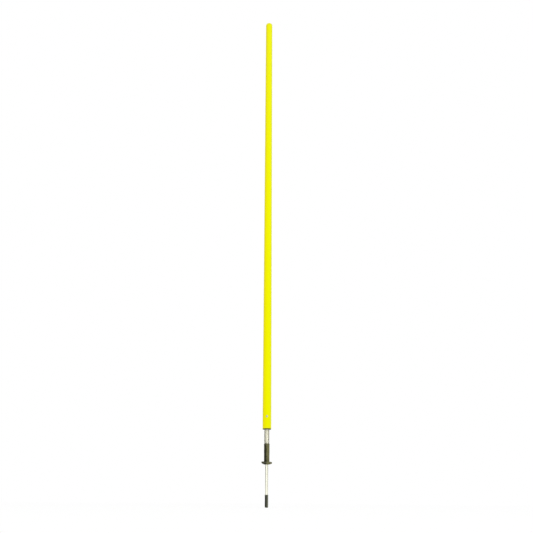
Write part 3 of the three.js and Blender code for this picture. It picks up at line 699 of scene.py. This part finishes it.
# Painted highlight: the cap's right side is painted paler, by its X, on top of the real chalky wear.
vinyl_painted_highlight = add(tip_vinyl, "ShaderNodeMapRange", interpolation_type="SMOOTHSTEP", feeds={
    "Value": add(tip_vinyl, "ShaderNodeSeparateXYZ", {"Vector": vinyl_place}).outputs["X"],
    "From Min": TIP_PAINTED_LIGHT_FROM * MM, "From Max": TIP_PAINTED_LIGHT_TO * MM, "To Max": TIP_PAINTED_LIGHT_MOST}).outputs["Result"]
vinyl_wear_and_painted_highlight = add(tip_vinyl, "ShaderNodeMath", operation="MAXIMUM", feeds={
    0: vinyl_painted_highlight, 1: vinyl_wear}).outputs[0]
vinyl_chalk_and_painted_highlight = add(tip_vinyl, "ShaderNodeMath", operation="MULTIPLY_ADD", use_clamp=True, feeds={
    0: vinyl_marks, 1: SCUFF_SHARE, 2: vinyl_wear_and_painted_highlight}).outputs[0]
vinyl_colour = add(tip_vinyl, "ShaderNodeMix", data_type="RGBA", feeds={
    SHARE: vinyl_chalk_and_painted_highlight, FIRST: colour("#1e2011"), SECOND: colour("#808272")}).outputs[MIXED]
finish(tip_vinyl, vinyl_colour, dulled_by=vinyl_chalk_and_painted_highlight, roughness=(0.34, 0.7),
       relief=vinyl_ripple, strength=0.4, depth=0.2)

# %% [markdown]
# ## The pole's pieces
# **The rivet's hole.** The rivet goes through the tube and into the plug, so both need a hole from the front.
# The drill is a plain cylinder that lies where the rivet will, and is a little wider and longer than it.

# %% The drill
RIVET_SHANK_RADIUS = 2.0
RIVET_SHANK_LENGTH = 5.8
HOLE_GAP = 0.3
PIN_HEAD_HEIGHT = 0.9
DRILL_PROUD = 1
DRILL_COLUMNS = 40

def facing_front(profile, columns):
    """Carries a profile round an axis that points out of the front of the tube at the rivet's height: x is
    radius times cosine, and height is the rivet's plus radius times sine. A point's second number is how far
    it stands out from the tube's own outside."""
    angle = angles_round(columns)
    radius, out = profile[:, :1], profile[:, 1:]
    return np.stack([
        radius * np.cos(angle), -(tube_radius + out) + 0 * angle,
        rivet_height + radius * np.sin(angle)], axis=-1)

drill_radius = RIVET_SHANK_RADIUS + HOLE_GAP
drill_depth = RIVET_SHANK_LENGTH + HOLE_GAP + PIN_HEAD_HEIGHT + HOLE_GAP
drill_profile = np.array([(NEAR_AXIS, -drill_depth), (drill_radius, -drill_depth),
                          (drill_radius, DRILL_PROUD), (NEAR_AXIS, DRILL_PROUD)])
drill_piece = skin("drill", facing_front(drill_profile, DRILL_COLUMNS))
print("drill", drill_radius * 2, "mm across,", round(drill_depth, 1), "mm deep")

# %% [markdown]
# Drilling is what the workshop does, and a Boolean modifier does the same to a mesh. It is applied at once,
# so that the finished piece is a plain mesh. The cut can leave two points almost in one place, with a sliver
# of a face between them, so the closest points are welded into one.

# %% Cutting the hole
WELD_WITHIN = 0.002

def cut_hole_in(piece):
    """Takes the drill's shape out of a piece, keeps the result as its mesh and welds its closest points."""
    cut = piece.modifiers.new("rivet_hole", "BOOLEAN")
    cut.object, cut.operation, cut.solver = drill_piece, "DIFFERENCE", "EXACT"
    bpy.context.view_layer.update()
    evaluated = piece.evaluated_get(bpy.context.evaluated_depsgraph_get())
    piece.data = bpy.data.meshes.new_from_object(evaluated)
    piece.modifiers.clear()
    shape = bmesh.new()
    shape.from_mesh(piece.data)
    bmesh.ops.remove_doubles(shape, verts=shape.verts, dist=WELD_WITHIN * MM)
    shape.to_mesh(piece.data)
    shape.free()

print("points closer than", WELD_WITHIN, "mm become one")

# %% [markdown]
# **The tube.** A tube is a ring's profile carried round the axis. Rubber belts pull the warm tube out of the
# die, so its outside swells and shrinks by a few hundredths of a millimetre, as two sines along its length
# added up. Nobody sees that as a shape, but it breaks up the long reflections. Extra rows of points near the
# two ends and beside the rivet keep the long faces away from worn edges and from the hole.

# %% The tube
TUBE_WALL = 1.6
TUBE_EDGE = 0.4
TUBE_RIPPLE = 0.02
SHORT_RIPPLE, LONG_RIPPLE = 6, 17
FROM_END = 6
FROM_RIVET = 5
TUBE_LONGEST = 24
TUBE_WEAR_REACH = 0.8
TUBE_COLUMNS = 96

tube_bore = tube_radius - TUBE_WALL
tube_heights = [tube_low, tube_low + FROM_END, rivet_height - FROM_RIVET,
                rivet_height + FROM_RIVET, tube_high - FROM_END, tube_high]
tube_corners = [(tube_bore, tube_low), *((tube_radius, height) for height in tube_heights),
                (tube_bore, tube_high)]
tube_profile = filled(softened(tube_corners, TUBE_EDGE, closed=True), TUBE_LONGEST, closed=True)
tube_outside = tube_profile[:, 0] > tube_radius - TUBE_EDGE / 2
tube_profile[:, 0] += tube_outside * TUBE_RIPPLE * (
    np.sin(tube_profile[:, 1] / SHORT_RIPPLE) + np.sin(tube_profile[:, 1] / LONG_RIPPLE + 1)) / 2
tube_grid = turned(tube_profile, TUBE_COLUMNS)
tube_piece = skin("extruded_tube", tube_grid, ring=True)
mark(tube_piece, "wear", nearness(
    tube_grid, [(tube_radius, tube_low), (tube_radius, tube_high)], TUBE_WEAR_REACH))
cut_hole_in(tube_piece)
dress(tube_piece, tube_abs, ["pole_tube"], "pole")

# %% [markdown]
# **The cap.** Its dome is a superellipse: the height is the dome's height times (1 - (r / R)^n)^(1 / n). With
# n = 2 that is an ellipse, and 2.6 gives the low crown with square shoulders that the photograph shows. The
# plastic entered the mould at the middle, which leaves a shallow dish with a torn-off pip in it.
#
# Near the rim a superellipse falls steeply. Its radii there are spaced by the cosine of an even angle, to the
# power 2 / n, which puts more rows where it curves most.

# %% The cap's dome
CAP_SEAT_GAP = 0.3
CAP_RIM = 1.8
CAP_FULLNESS = 2.6
CAP_MIDDLE = 0.15
SHOULDER_TO = 76
SHOULDER_POINTS, TOP_POINTS = 24, 26
GATE_RADIUS = 3.0
GATE_DEPTH = 0.35
PIP_RADIUS = 0.9
PIP_HEIGHT = 0.25

cap_shoulder = tube_high + CAP_SEAT_GAP
cap_dome_height = cap_high - cap_shoulder - CAP_RIM

def dome_height(radius):
    """Superellipse dome, less a round dish in its middle, plus a pip in the dish. Dish and pip both fade
    out as (1 - (r / reach)^2)^2."""
    dome = cap_dome_height * (1 - np.minimum(radius / tube_radius, 1) ** CAP_FULLNESS) ** (1 / CAP_FULLNESS)
    dish = GATE_DEPTH * np.maximum(0, 1 - (radius / GATE_RADIUS) ** 2) ** 2
    pip = PIP_HEIGHT * np.maximum(0, 1 - (radius / PIP_RADIUS) ** 2) ** 2
    return dome - dish + pip

shoulder_angle = np.radians(np.linspace(0, SHOULDER_TO, SHOULDER_POINTS))
shoulder_radii = tube_radius * np.cos(shoulder_angle) ** (2 / CAP_FULLNESS)
top_radii = np.linspace(shoulder_radii[-1], CAP_MIDDLE, TOP_POINTS)[1:]
dome_radii = np.concatenate([shoulder_radii, top_radii])
cap_dome = np.stack([dome_radii, cap_shoulder + CAP_RIM + dome_height(dome_radii)], axis=-1)
print("dome", round(cap_dome_height, 1), "mm high, in", len(cap_dome), "rows")

# %% [markdown]
# Below its rim the cap has a hollow skirt with four saw-tooth rings. Each ring slopes outwards on its way up,
# so that the skirt slides into the tube, and ends in a square step, so that it stays there.

# %% The cap's skirt
CAP_CROWN = 2.4
CAP_SKIRT_WALL = 1.5
CAP_RINGS = 4
CAP_LEAD_IN = 1.2
CAP_GRIP_GAP = 0.3
CAP_GRIP = 0.5
CAP_WEAR_REACH = 0.5
CAP_COLUMNS = 96

def repeated(feet, points):
    """A stretch of profile that repeats: at each foot's height, points as radius and height above it."""
    return (np.array(points, float) + np.stack([0 * feet, feet], axis=-1)[:, None]).reshape(-1, 2)

cap_grip_radius = tube_bore - CAP_GRIP_GAP
cap_skirt_radius = cap_grip_radius - CAP_GRIP
cap_hollow_radius = cap_skirt_radius - CAP_SKIRT_WALL
cap_ceiling = cap_high - CAP_CROWN
cap_ring_pitch = (cap_shoulder - cap_low - CAP_LEAD_IN) / CAP_RINGS
cap_ring_feet = cap_low + CAP_LEAD_IN + cap_ring_pitch * np.arange(CAP_RINGS)
cap_corners = np.vstack([
    [(CAP_MIDDLE, cap_ceiling), (cap_hollow_radius, cap_ceiling), (cap_hollow_radius, cap_low),
     (cap_skirt_radius - CAP_LEAD_IN / 2, cap_low)],
    repeated(cap_ring_feet, [(cap_skirt_radius, 0), (cap_grip_radius, cap_ring_pitch / 2),
                             (cap_skirt_radius, cap_ring_pitch / 2)]),
    [(cap_skirt_radius, cap_shoulder), (tube_radius, cap_shoulder),
     (tube_radius, cap_shoulder + CAP_RIM)]])
cap_cuts = np.array([0.1, 1.5, 0.3, 0.2] + [0.1, 0.12, 0.1] * CAP_RINGS + [0.1, 0.3, 0.02])
cap_profile = np.vstack([softened(cap_corners, cap_cuts)[:-1], cap_dome])
cap_grid = turned(cap_profile, CAP_COLUMNS)
cap_piece = skin("moulded_cap", cap_grid)
mark(cap_piece, "wear", nearness(cap_grid, [(tube_radius, cap_shoulder)], CAP_WEAR_REACH))
dress(cap_piece, cap_polyethylene, ["top_cap"], "pole")

# %% [markdown]
# **The plug.** It fills the tube's mouth. Its lip shows as a dark ring under the tube, and a socket in it
# takes the spring. Three rings grip the tube, bevelled above so that the plug pushes in. The plastic round
# the boss in its middle is cored out from above, so that it cools evenly in its mould.

# %% The plug's profile
PLUG_LIP = 1.6
PLUG_GRIP_GAP = 0.3
PLUG_BODY_INSET = 0.5
PLUG_RINGS = 3
PLUG_RING_HEIGHT = 2.4
PLUG_LEAD_IN = 1.5
PLUG_WALL = 1.5
PLUG_BOSS_RADIUS = 7.0
PLUG_CORE_DEPTH = 8.0
PLUG_LONGEST = 4
SOCKET_GAP = 0.2
SOCKET_DEPTH = 12.0
BOLT_RADIUS = 4.0

socket_radius = collar_radius + SOCKET_GAP
plug_grip_radius = tube_bore - PLUG_GRIP_GAP
plug_body_radius = plug_grip_radius - PLUG_BODY_INSET
plug_core_radius = plug_body_radius - PLUG_WALL
bolt_hole_radius = BOLT_RADIUS + HOLE_GAP
core_floor = plug_high - PLUG_CORE_DEPTH
plug_ring_pitch = (plug_high - tube_low - PLUG_LEAD_IN) / PLUG_RINGS
plug_ring_feet = tube_low + plug_ring_pitch * np.arange(PLUG_RINGS)
plug_corners = np.vstack([
    [(socket_radius, plug_low), (lip_radius, plug_low), (lip_radius, plug_low + PLUG_LIP),
     (plug_body_radius, plug_low + PLUG_LIP)],
    repeated(plug_ring_feet, [(plug_body_radius, 0), (plug_grip_radius, 0),
                              (plug_grip_radius, PLUG_RING_HEIGHT),
                              (plug_body_radius, PLUG_RING_HEIGHT + PLUG_BODY_INSET)]),
    [(plug_body_radius, plug_high - PLUG_LEAD_IN), (plug_body_radius - PLUG_LEAD_IN / 2, plug_high),
     (plug_core_radius, plug_high), (plug_core_radius, core_floor), (PLUG_BOSS_RADIUS, core_floor),
     (PLUG_BOSS_RADIUS, plug_high), (bolt_hole_radius, plug_high),
     (bolt_hole_radius, plug_low + SOCKET_DEPTH), (socket_radius, plug_low + SOCKET_DEPTH)]])
plug_cuts = np.array([0.3, 0.5, 0.15, 0.1] + [0.05, 0.12, 0.12, 0.12] * PLUG_RINGS
                     + [0.4, 0.2, 0.15, 0.3, 0.3, 0.15, 0.2, 0.1, 0.1])
plug_profile = filled(softened(plug_corners, plug_cuts, closed=True), PLUG_LONGEST, closed=True)
print("plug", round(plug_high - plug_low), "mm high, in", len(plug_profile), "rows")

# %% [markdown]
# Six webs cross the hollow and stiffen it. They are part of the same surface: where a column of points is
# near a web, the hollow's floor rises nearly to the top.

# %% The plug's webs
PLUG_WEBS = 6
PLUG_WEB_THICKNESS = 1.4
WEB_BELOW_TOP = 0.3
LIP_WEAR_REACH = 0.35
PLUG_COLUMNS = 120

plug_grid = turned(plug_profile, PLUG_COLUMNS)
web_turn = 2 * math.pi / PLUG_WEBS
past_web = (angles_round(PLUG_COLUMNS) + web_turn / 2) % web_turn - web_turn / 2
from_web = np.abs(past_web) * plug_core_radius
plug_radius, plug_z = plug_profile[:, :1], plug_profile[:, 1:]
in_core = ((plug_radius > PLUG_BOSS_RADIUS - TOUCH) & (plug_radius < plug_core_radius + TOUCH)
           & (plug_z > core_floor - TOUCH))
on_web = in_core & (from_web < PLUG_WEB_THICKNESS / 2)
plug_grid[..., 2] = np.where(on_web, np.maximum(plug_z, plug_high - WEB_BELOW_TOP), plug_grid[..., 2])
plug_piece = skin("moulded_plug", plug_grid, ring=True)
mark(plug_piece, "wear", nearness(plug_grid, [(lip_radius, plug_low)], LIP_WEAR_REACH))
cut_hole_in(plug_piece)
dress(plug_piece, plug_nylon, ["spring_plug"], "pole")
bpy.data.objects.remove(drill_piece)

# %% [markdown]
# **The rivet.** A blind rivet is a soft sleeve with a domed flange. A pin pulls it tight from behind and
# snaps off inside its head. Its profile is carried round an axis that points out of the tube.

# %% The rivet's profile
RIVET_HEAD_RADIUS = 3.25
RIVET_HEAD_HEIGHT = 1.2
RIVET_EDGE = 0.35
RIVET_HOLE_RADIUS = 1.25
RIVET_END_ROUND = 0.15
RIVET_RIM_ROUND = 0.12
RIVET_RIM = np.array([(-0.03, 0.04), (0, 0.14)])
UNDERSIDE_POINTS = 5
RIVET_DOME_TO, RIVET_DOME_POINTS = 86, 14

rivet_dome = arc((RIVET_HOLE_RADIUS, RIVET_EDGE),
                 (RIVET_HEAD_RADIUS - RIVET_HOLE_RADIUS, RIVET_HEAD_HEIGHT - RIVET_EDGE),
                 0, RIVET_DOME_TO, RIVET_DOME_POINTS)
rivet_underside = np.linspace(RIVET_SHANK_RADIUS, RIVET_HEAD_RADIUS - RIVET_RIM_ROUND, UNDERSIDE_POINTS)
rivet_profile = np.vstack([
    softened([(RIVET_HOLE_RADIUS, -RIVET_SHANK_LENGTH), (RIVET_SHANK_RADIUS, -RIVET_SHANK_LENGTH),
              (RIVET_SHANK_RADIUS, 0)], RIVET_END_ROUND)[:-1],
    np.stack([rivet_underside, 0 * rivet_underside], axis=-1),
    (RIVET_HEAD_RADIUS, 0) + RIVET_RIM,
    rivet_dome,
    [(RIVET_HOLE_RADIUS, RIVET_HEAD_HEIGHT - RIVET_RIM_ROUND)]])
print("rivet head", RIVET_HEAD_RADIUS * 2, "mm across, in", len(rivet_profile), "rows")

# %% [markdown]
# Setting the rivet pulls its flange down until the underside follows the round wall of the tube. So that
# underside is the tube's own curve: the drop at a distance x from the middle is R - sqrt(R^2 - x^2). The jaws
# of the gun leave a ring of wear round the hole.

# %% The rivet's flange
RIVET_SADDLE_GAP = 0.06
JAW_RING_RADIUS = 1.7
JAW_RING_WIDTH = 0.25
RIVET_COLUMNS = 56

rivet_grid = facing_front(rivet_profile, RIVET_COLUMNS)
drop = tube_radius - np.sqrt(tube_radius**2 - rivet_grid[..., 0] ** 2)
rivet_radius, rivet_out = rivet_profile[:, :1], rivet_profile[:, 1:]
follows_wall = ((rivet_radius > RIVET_SHANK_RADIUS - TOUCH) & (rivet_out > -TOUCH)) * np.clip(
    1 - rivet_out / RIVET_HEAD_HEIGHT, 0, 1)
rivet_grid[..., 1] += follows_wall * (drop - RIVET_SADDLE_GAP)
rivet_piece = skin("blind_rivet", rivet_grid, ring=True)
jaw_ring = np.exp(-np.abs(rivet_radius - JAW_RING_RADIUS) / JAW_RING_WIDTH) * (rivet_out > RIVET_EDGE)
mark(rivet_piece, "wear", jaw_ring + 0 * rivet_grid[..., 0])
dress(rivet_piece, rivet_aluminium, ["rivet_body"], "pole")

# %% [markdown]
# ## The foot's pieces
# **The spring.** It is wound closed, coil on coil, and its last coils draw in to grip the bar below and the
# bolt above. Where the coils' radius changes, it follows a smoothstep, 3 t^2 - 2 t^3.

# %% The coils' radius
WIRE_RADIUS = 1.2
DRAWN_IN_OVER = 2.9
CLEAR_OF_MOUTH = 0.3

bare_radius = spring_radius - WIRE_RADIUS
gripping_radius = collar_radius - WIRE_RADIUS

def coil_radius(height):
    """Radius of the wire's middle at some heights: the bare coils' in the open, the gripping coils' inside
    boot and plug, with a smoothstep between them just outside each mouth."""
    outside = np.minimum(height - boot_high, plug_low - height) - WIRE_RADIUS - CLEAR_OF_MOUTH
    t = np.clip(outside / DRAWN_IN_OVER, 0, 1)
    return gripping_radius + (bare_radius - gripping_radius) * t**2 * (3 - 2 * t)

print("coils", round(bare_radius * 2, 1), "mm across, or", round(gripping_radius * 2, 1), "where they grip")

# %% [markdown]
# The wire's middle goes round at that radius R and climbs by one pitch each turn: (R cos a, R sin a,
# pitch a / 2 pi). At each step a circle is set up across the wire, in the plane of the outward direction and
# the direction square to it and to the wire.

# %% A coiled wire
SPRING_PITCH = 2.45
SPLIT_HEIGHT = 77.0
WIRE_COLUMNS = 16
STEPS_PER_TURN = 40

def coil(first_height, last_height):
    """The skin of a coiled wire between two heights, the distance along it and the share of a turn round it.
    A point is the middle plus the wire's radius times cosine outwards and sine sideways. Angles are counted
    from the split, so that both lengths of the spring have the same end there."""
    turns = (last_height - first_height) / SPRING_PITCH
    height = np.linspace(first_height, last_height, int(turns * STEPS_PER_TURN) + 1)
    climb = SPRING_PITCH / (2 * math.pi)
    angle = (height - SPLIT_HEIGHT) / climb
    radius = coil_radius(height)[:, None]
    outward = np.stack([np.cos(angle), np.sin(angle), 0 * angle], axis=-1)
    onward = np.stack([-np.sin(angle), np.cos(angle), 0 * angle], axis=-1)
    along = np.gradient(radius[:, 0], angle)[:, None] * outward + radius * onward + (0, 0, climb)
    speed = np.linalg.norm(along, axis=1)
    side = np.cross(along / speed[:, None], outward)
    centre = radius * outward + height[:, None] * (0, 0, 1)
    share = np.arange(WIRE_COLUMNS) / WIRE_COLUMNS
    across = 2 * math.pi * share[None, :, None]
    grid = centre[:, None] + WIRE_RADIUS * (
        np.cos(across) * outward[:, None] + np.sin(across) * side[:, None])
    length = np.cumsum(speed) * (angle[1] - angle[0])
    length -= np.interp(SPLIT_HEIGHT, height, length)
    return grid, np.broadcast_to(length[:, None], grid.shape[:2]), np.broadcast_to(share, grid.shape[:2])

print("turns of wire:", round((spring_high - spring_low - 2 * WIRE_RADIUS) / SPRING_PITCH, 1))

# %% [markdown]
# The CAD bends the pole on two hinges in the spring, one forwards and one sideways. The spring is therefore
# in two lengths that meet between the hinges.

# %% The spring's two lengths
# Painted shade in the grooves between coils and on the spring's left side.
GROOVE_SHADE_EDGE = 3.2
SHADED_SIDE_FROM = 4.4
MOST_SIDE_SHADE = 0.85

def spring_length(name, first_height, last_height):
    """One length of the spring, between two heights. Its painted shade is the greater of two slopes, each cut
    off at its ends: one grows into the grooves with the sine of the angle round the wire, and the other with
    the distance to the left."""
    grid, along, share = coil(first_height, last_height)
    piece = skin(name, grid)
    mark(piece, "along_wire", along)
    mark(piece, "round_wire", share)
    # Painted shade: darker in the grooves between coils and on the spring's left side.
    groove_shade = np.clip(np.abs(np.sin(2 * math.pi * share)) * GROOVE_SHADE_EDGE - (GROOVE_SHADE_EDGE - 1), 0, 1)
    side_shade = np.clip((-grid[..., 0] - SHADED_SIDE_FROM) / (bare_radius - SHADED_SIDE_FROM), 0, MOST_SIDE_SHADE)
    mark(piece, "painted_shade", np.maximum(groove_shade, side_shade))
    dress(piece, wire_zinc, ["bend_spring"])
    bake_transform(piece)

spring_length("bend_spring_lower", spring_low + WIRE_RADIUS, SPLIT_HEIGHT)
spring_length("bend_spring_upper", SPLIT_HEIGHT, spring_high - WIRE_RADIUS)

# %% [markdown]
# **The spike.** It is a bar turned to a blunt point. Wear on it grows towards the point, since that end goes
# through the turf first and most.

# %% The spike
SPIKE_POINT_LENGTH = 18.0
SPIKE_POINT_RADIUS = 0.8
SPIKE_CHAMFER = 0.8
SPIKE_LONGEST = 6
LEAST_WEAR = 0.1
SPIKE_COLUMNS = 64

spike_corners = [(NEAR_AXIS, spike_low), (SPIKE_POINT_RADIUS, spike_low),
                 (spike_radius, spike_low + SPIKE_POINT_LENGTH), (spike_radius, spike_high - SPIKE_CHAMFER),
                 (spike_radius - SPIKE_CHAMFER, spike_high), (NEAR_AXIS, spike_high)]
spike_cuts = [0.1, 0.5, 1.6, 0.25, 0.25, 0.1]
spike_profile = filled(softened(spike_corners, spike_cuts), SPIKE_LONGEST)
spike_grid = turned(spike_profile, SPIKE_COLUMNS)
spike_piece = skin("steel_spike", spike_grid)
mark(spike_piece, "wear", np.clip(LEAST_WEAR + spike_grid[..., 2] / spike_low, LEAST_WEAR, 1))
dress(spike_piece, bar_zinc, ["ground_spike"], "foot")

# %% [markdown]
# **The boot.** A soft rubber sleeve hides the joint of bar and spring, and its disc lies on the turf. Its
# profile is three arcs joined by straight lines: the disc's round rim, the flare up to the sleeve and the
# bead at the mouth. Inside, straight lines make a pocket for the spring and a hole for the bar.

# %% The boot's profile
ROD_HOLE_GAP = 0.3
POCKET_GAP = 0.2
POCKET_BELOW_COLLAR = 0.3
HOLE_EDGE = 0.15
MOUTH_EDGE = 0.12
BOOT_WAIST = 7.7
BOOT_MOUTH = 7.9
BEAD_HEIGHT = 3.4
BEAD_PROUD = 0.2
DISC_THICKNESS = 4.8
DISC_FLAT = 6.5
RIM_LIFT = 1.3
RIM_THICKNESS = 5.4
FLARE_HEIGHT = 9.5
FLARE_REACH = 3.6
BOOT_LONGEST = 2.5

rod_hole_radius = spike_radius + ROD_HOLE_GAP
pocket_radius = collar_radius + POCKET_GAP
pocket_floor = collar_low - POCKET_BELOW_COLLAR
rim_radius = RIM_THICKNESS / 2
disc_rim = arc((disc_radius - rim_radius, RIM_LIFT + rim_radius), (rim_radius, rim_radius),
               first=-90, last=90, steps=17)
flare = arc((BOOT_WAIST + FLARE_REACH, FLARE_HEIGHT), (FLARE_REACH, FLARE_HEIGHT - DISC_THICKNESS),
            first=270, last=180, steps=12)
bead = arc((BOOT_MOUTH, boot_high - BEAD_HEIGHT / 2), (BEAD_PROUD, BEAD_HEIGHT / 2),
           first=-90, last=84, steps=11)
boot_profile = filled(np.vstack([
    [(rod_hole_radius, HOLE_EDGE), (rod_hole_radius + HOLE_EDGE, 0), (DISC_FLAT, 0)],
    disc_rim, flare, bead,
    [(pocket_radius + MOUTH_EDGE, boot_high), (pocket_radius, boot_high - MOUTH_EDGE),
     (pocket_radius, pocket_floor), (rod_hole_radius, pocket_floor)]]), BOOT_LONGEST, closed=True)
print("boot", round(boot_high), "mm high, in", len(boot_profile), "rows")

# %% [markdown]
# The photograph shows the disc's rim curled up, most of all at its left. The curl is a lift that grows with
# the square of the distance past the flat part. Round the disc it is an even share, plus a share times the
# cosine of twice the angle, less a share times the cosine of the angle.
#
# The mould opened in two halves, which leaves a fine raised line down each side: it falls off as e to the
# minus distance squared. Soft rubber is never quite round, so two slow sines swell the sleeve a little.

# %% The boot's curl, seams and softness
CURL = 1.4
CURL_EVEN_SHARE, CURL_TWICE_SHARE, CURL_LEFT_SHARE = 0.8, 0.2, 0.6
SLEEVE_FROM = 2
SEAM_HEIGHT = 0.12
SEAM_WIDTH = 0.4
SOFTNESS = 0.06
SOFT_OVER, SOFT_BACK_OVER = 5, 8
BEAD_WEAR_BELOW = 1.2
BOOT_WEAR, BOOT_WEAR_REACH = 0.8, 0.9
BOOT_COLUMNS = 144

boot_grid = turned(boot_profile, BOOT_COLUMNS)
boot_angle = angles_round(BOOT_COLUMNS)
boot_radius, boot_z = boot_profile[:, :1], boot_profile[:, 1:]
past_flat = np.clip((boot_radius - DISC_FLAT) / (disc_radius - DISC_FLAT), 0, 1) ** 2
curl = CURL * past_flat * (CURL_EVEN_SHARE + CURL_TWICE_SHARE * np.cos(2 * boot_angle)
                           - CURL_LEFT_SHARE * np.cos(boot_angle))
on_sleeve = (boot_radius > pocket_radius + TOUCH) & (boot_z > FLARE_HEIGHT - SLEEVE_FROM)
from_seam = np.abs(np.sin(boot_angle)) * boot_radius
seam = on_sleeve * SEAM_HEIGHT * np.exp(-((from_seam / SEAM_WIDTH) ** 2))
soft = on_sleeve * SOFTNESS * (np.sin(2 * boot_angle + boot_z / SOFT_OVER)
                               + np.sin(3 * boot_angle - boot_z / SOFT_BACK_OVER)) / 2
boot_grid[..., :2] *= ((boot_radius + seam + soft) / boot_radius)[..., None]
boot_grid[..., 2] += curl
boot_piece = skin("rubber_boot_moulded", boot_grid, ring=True)
boot_worn_at = [(disc_radius, RIM_LIFT + rim_radius + CURL),
                (BOOT_MOUTH + BEAD_PROUD, boot_high - BEAD_WEAR_BELOW)]
mark(boot_piece, "wear", BOOT_WEAR * nearness(boot_grid, boot_worn_at, BOOT_WEAR_REACH))
dress(boot_piece, boot_rubber, ["rubber_boot"], "foot")

# %% [markdown]
# **The tip cap.** It keeps the point from scratching and tearing things in the bag. Its bottom is round, and
# its lip widens with the square of the height.

# %% The tip cap's profile
TIP_GRIP_GAP = 0.1
TIP_WALL = 0.7
TIP_FLOOR = 3.0
TIP_FLOOR_BEVEL = 0.6
TIP_LIP = 4.0
TIP_LIP_ROUND = 0.35
TIP_LIP_ROWS = 8
TIP_FLARE = 0.35
TIP_ROUNDING = 2.4
TIP_LONGEST = 2.5

tip_bore = spike_radius + TIP_GRIP_GAP
tip_outside = tip_bore + TIP_WALL
lip_rows = np.linspace(0, 1, TIP_LIP_ROWS)[:, None]
lip_foot, lip_top = tip_high - TIP_LIP, tip_high - TIP_LIP_ROUND
outer_lip = np.hstack([tip_outside + TIP_FLARE * lip_rows**2, lip_foot + (lip_top - lip_foot) * lip_rows])
inner_lip = outer_lip[::-1] - (TIP_WALL, 0)
round_bottom = arc((tip_outside - TIP_ROUNDING, tip_low + TIP_ROUNDING), (TIP_ROUNDING, TIP_ROUNDING),
                   first=-90, last=0, steps=10)
lip_edge = arc((tip_outside + TIP_FLARE - TIP_WALL / 2, lip_top), (TIP_WALL / 2, TIP_LIP_ROUND),
               first=20, last=160, steps=7)
tip_profile = filled(np.vstack([
    [(NEAR_AXIS, tip_low)], round_bottom, outer_lip, lip_edge, inner_lip,
    [(tip_bore, tip_low + TIP_FLOOR + TIP_FLOOR_BEVEL), (tip_bore - TIP_FLOOR_BEVEL, tip_low + TIP_FLOOR),
     (NEAR_AXIS, tip_low + TIP_FLOOR)]]), TIP_LONGEST)
print("tip cap", round(tip_high - tip_low), "mm high, in", len(tip_profile), "rows")

# %% [markdown]
# The wall is a little uneven, as dipped walls are: two slow sines that turn as they climb. Use has pulled the
# lip askew, out on the left and in on the right, by the cosine of the angle.

# %% The tip cap's wall and lip
TIP_UNEVEN = 0.05
UNEVEN_OVER, UNEVEN_BACK_OVER = 4, 7
TIP_PULL = 0.15
TIP_PULL_TURN = 0.3
TIP_WEAR, TIP_WEAR_REACH = 0.7, 1.2
TIP_WORN_INSIDE, TIP_WORN_ABOVE = 1, 0.6
TIP_COLUMNS = 72

tip_grid = turned(tip_profile, TIP_COLUMNS)
tip_angle = angles_round(TIP_COLUMNS)
tip_z = tip_profile[:, 1:]
tip_outer = tip_profile[:, :1] > tip_bore + TIP_WALL / 2
uneven = tip_outer * TIP_UNEVEN * (
    np.sin(3 * tip_angle + tip_z / UNEVEN_OVER) + np.sin(2 * tip_angle - tip_z / UNEVEN_BACK_OVER))
pulled = (np.clip((tip_z - lip_foot) / TIP_LIP, 0, 1) ** 2 * -TIP_PULL
          * np.cos(tip_angle - TIP_PULL_TURN))
tip_grid[..., :2] *= (1 + (uneven + pulled) / tip_profile[:, :1].clip(min=1))[..., None]
tip_piece = skin("dipped_tip_cap", tip_grid)
tip_worn_at = [(tip_outside - TIP_WORN_INSIDE, tip_low + TIP_WORN_ABOVE),
               (tip_outside + TIP_FLARE, tip_high)]
mark(tip_piece, "wear", TIP_WEAR * nearness(tip_grid, tip_worn_at, TIP_WEAR_REACH))
dress(tip_piece, tip_vinyl, ["tip_cap"], "cap")

# %% [markdown]
# ## The CAD's own pieces
# Three small pieces keep their CAD shapes and get the finish of zinc-plated fasteners.

# %% Bolt, collar and rivet pin
for node in ("spring_bolt", "stop_collar", "rivet_mandrel"):
    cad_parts[node].data.materials.clear()
    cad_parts[node].data.materials.append(plate_zinc)
print("three CAD pieces dressed")
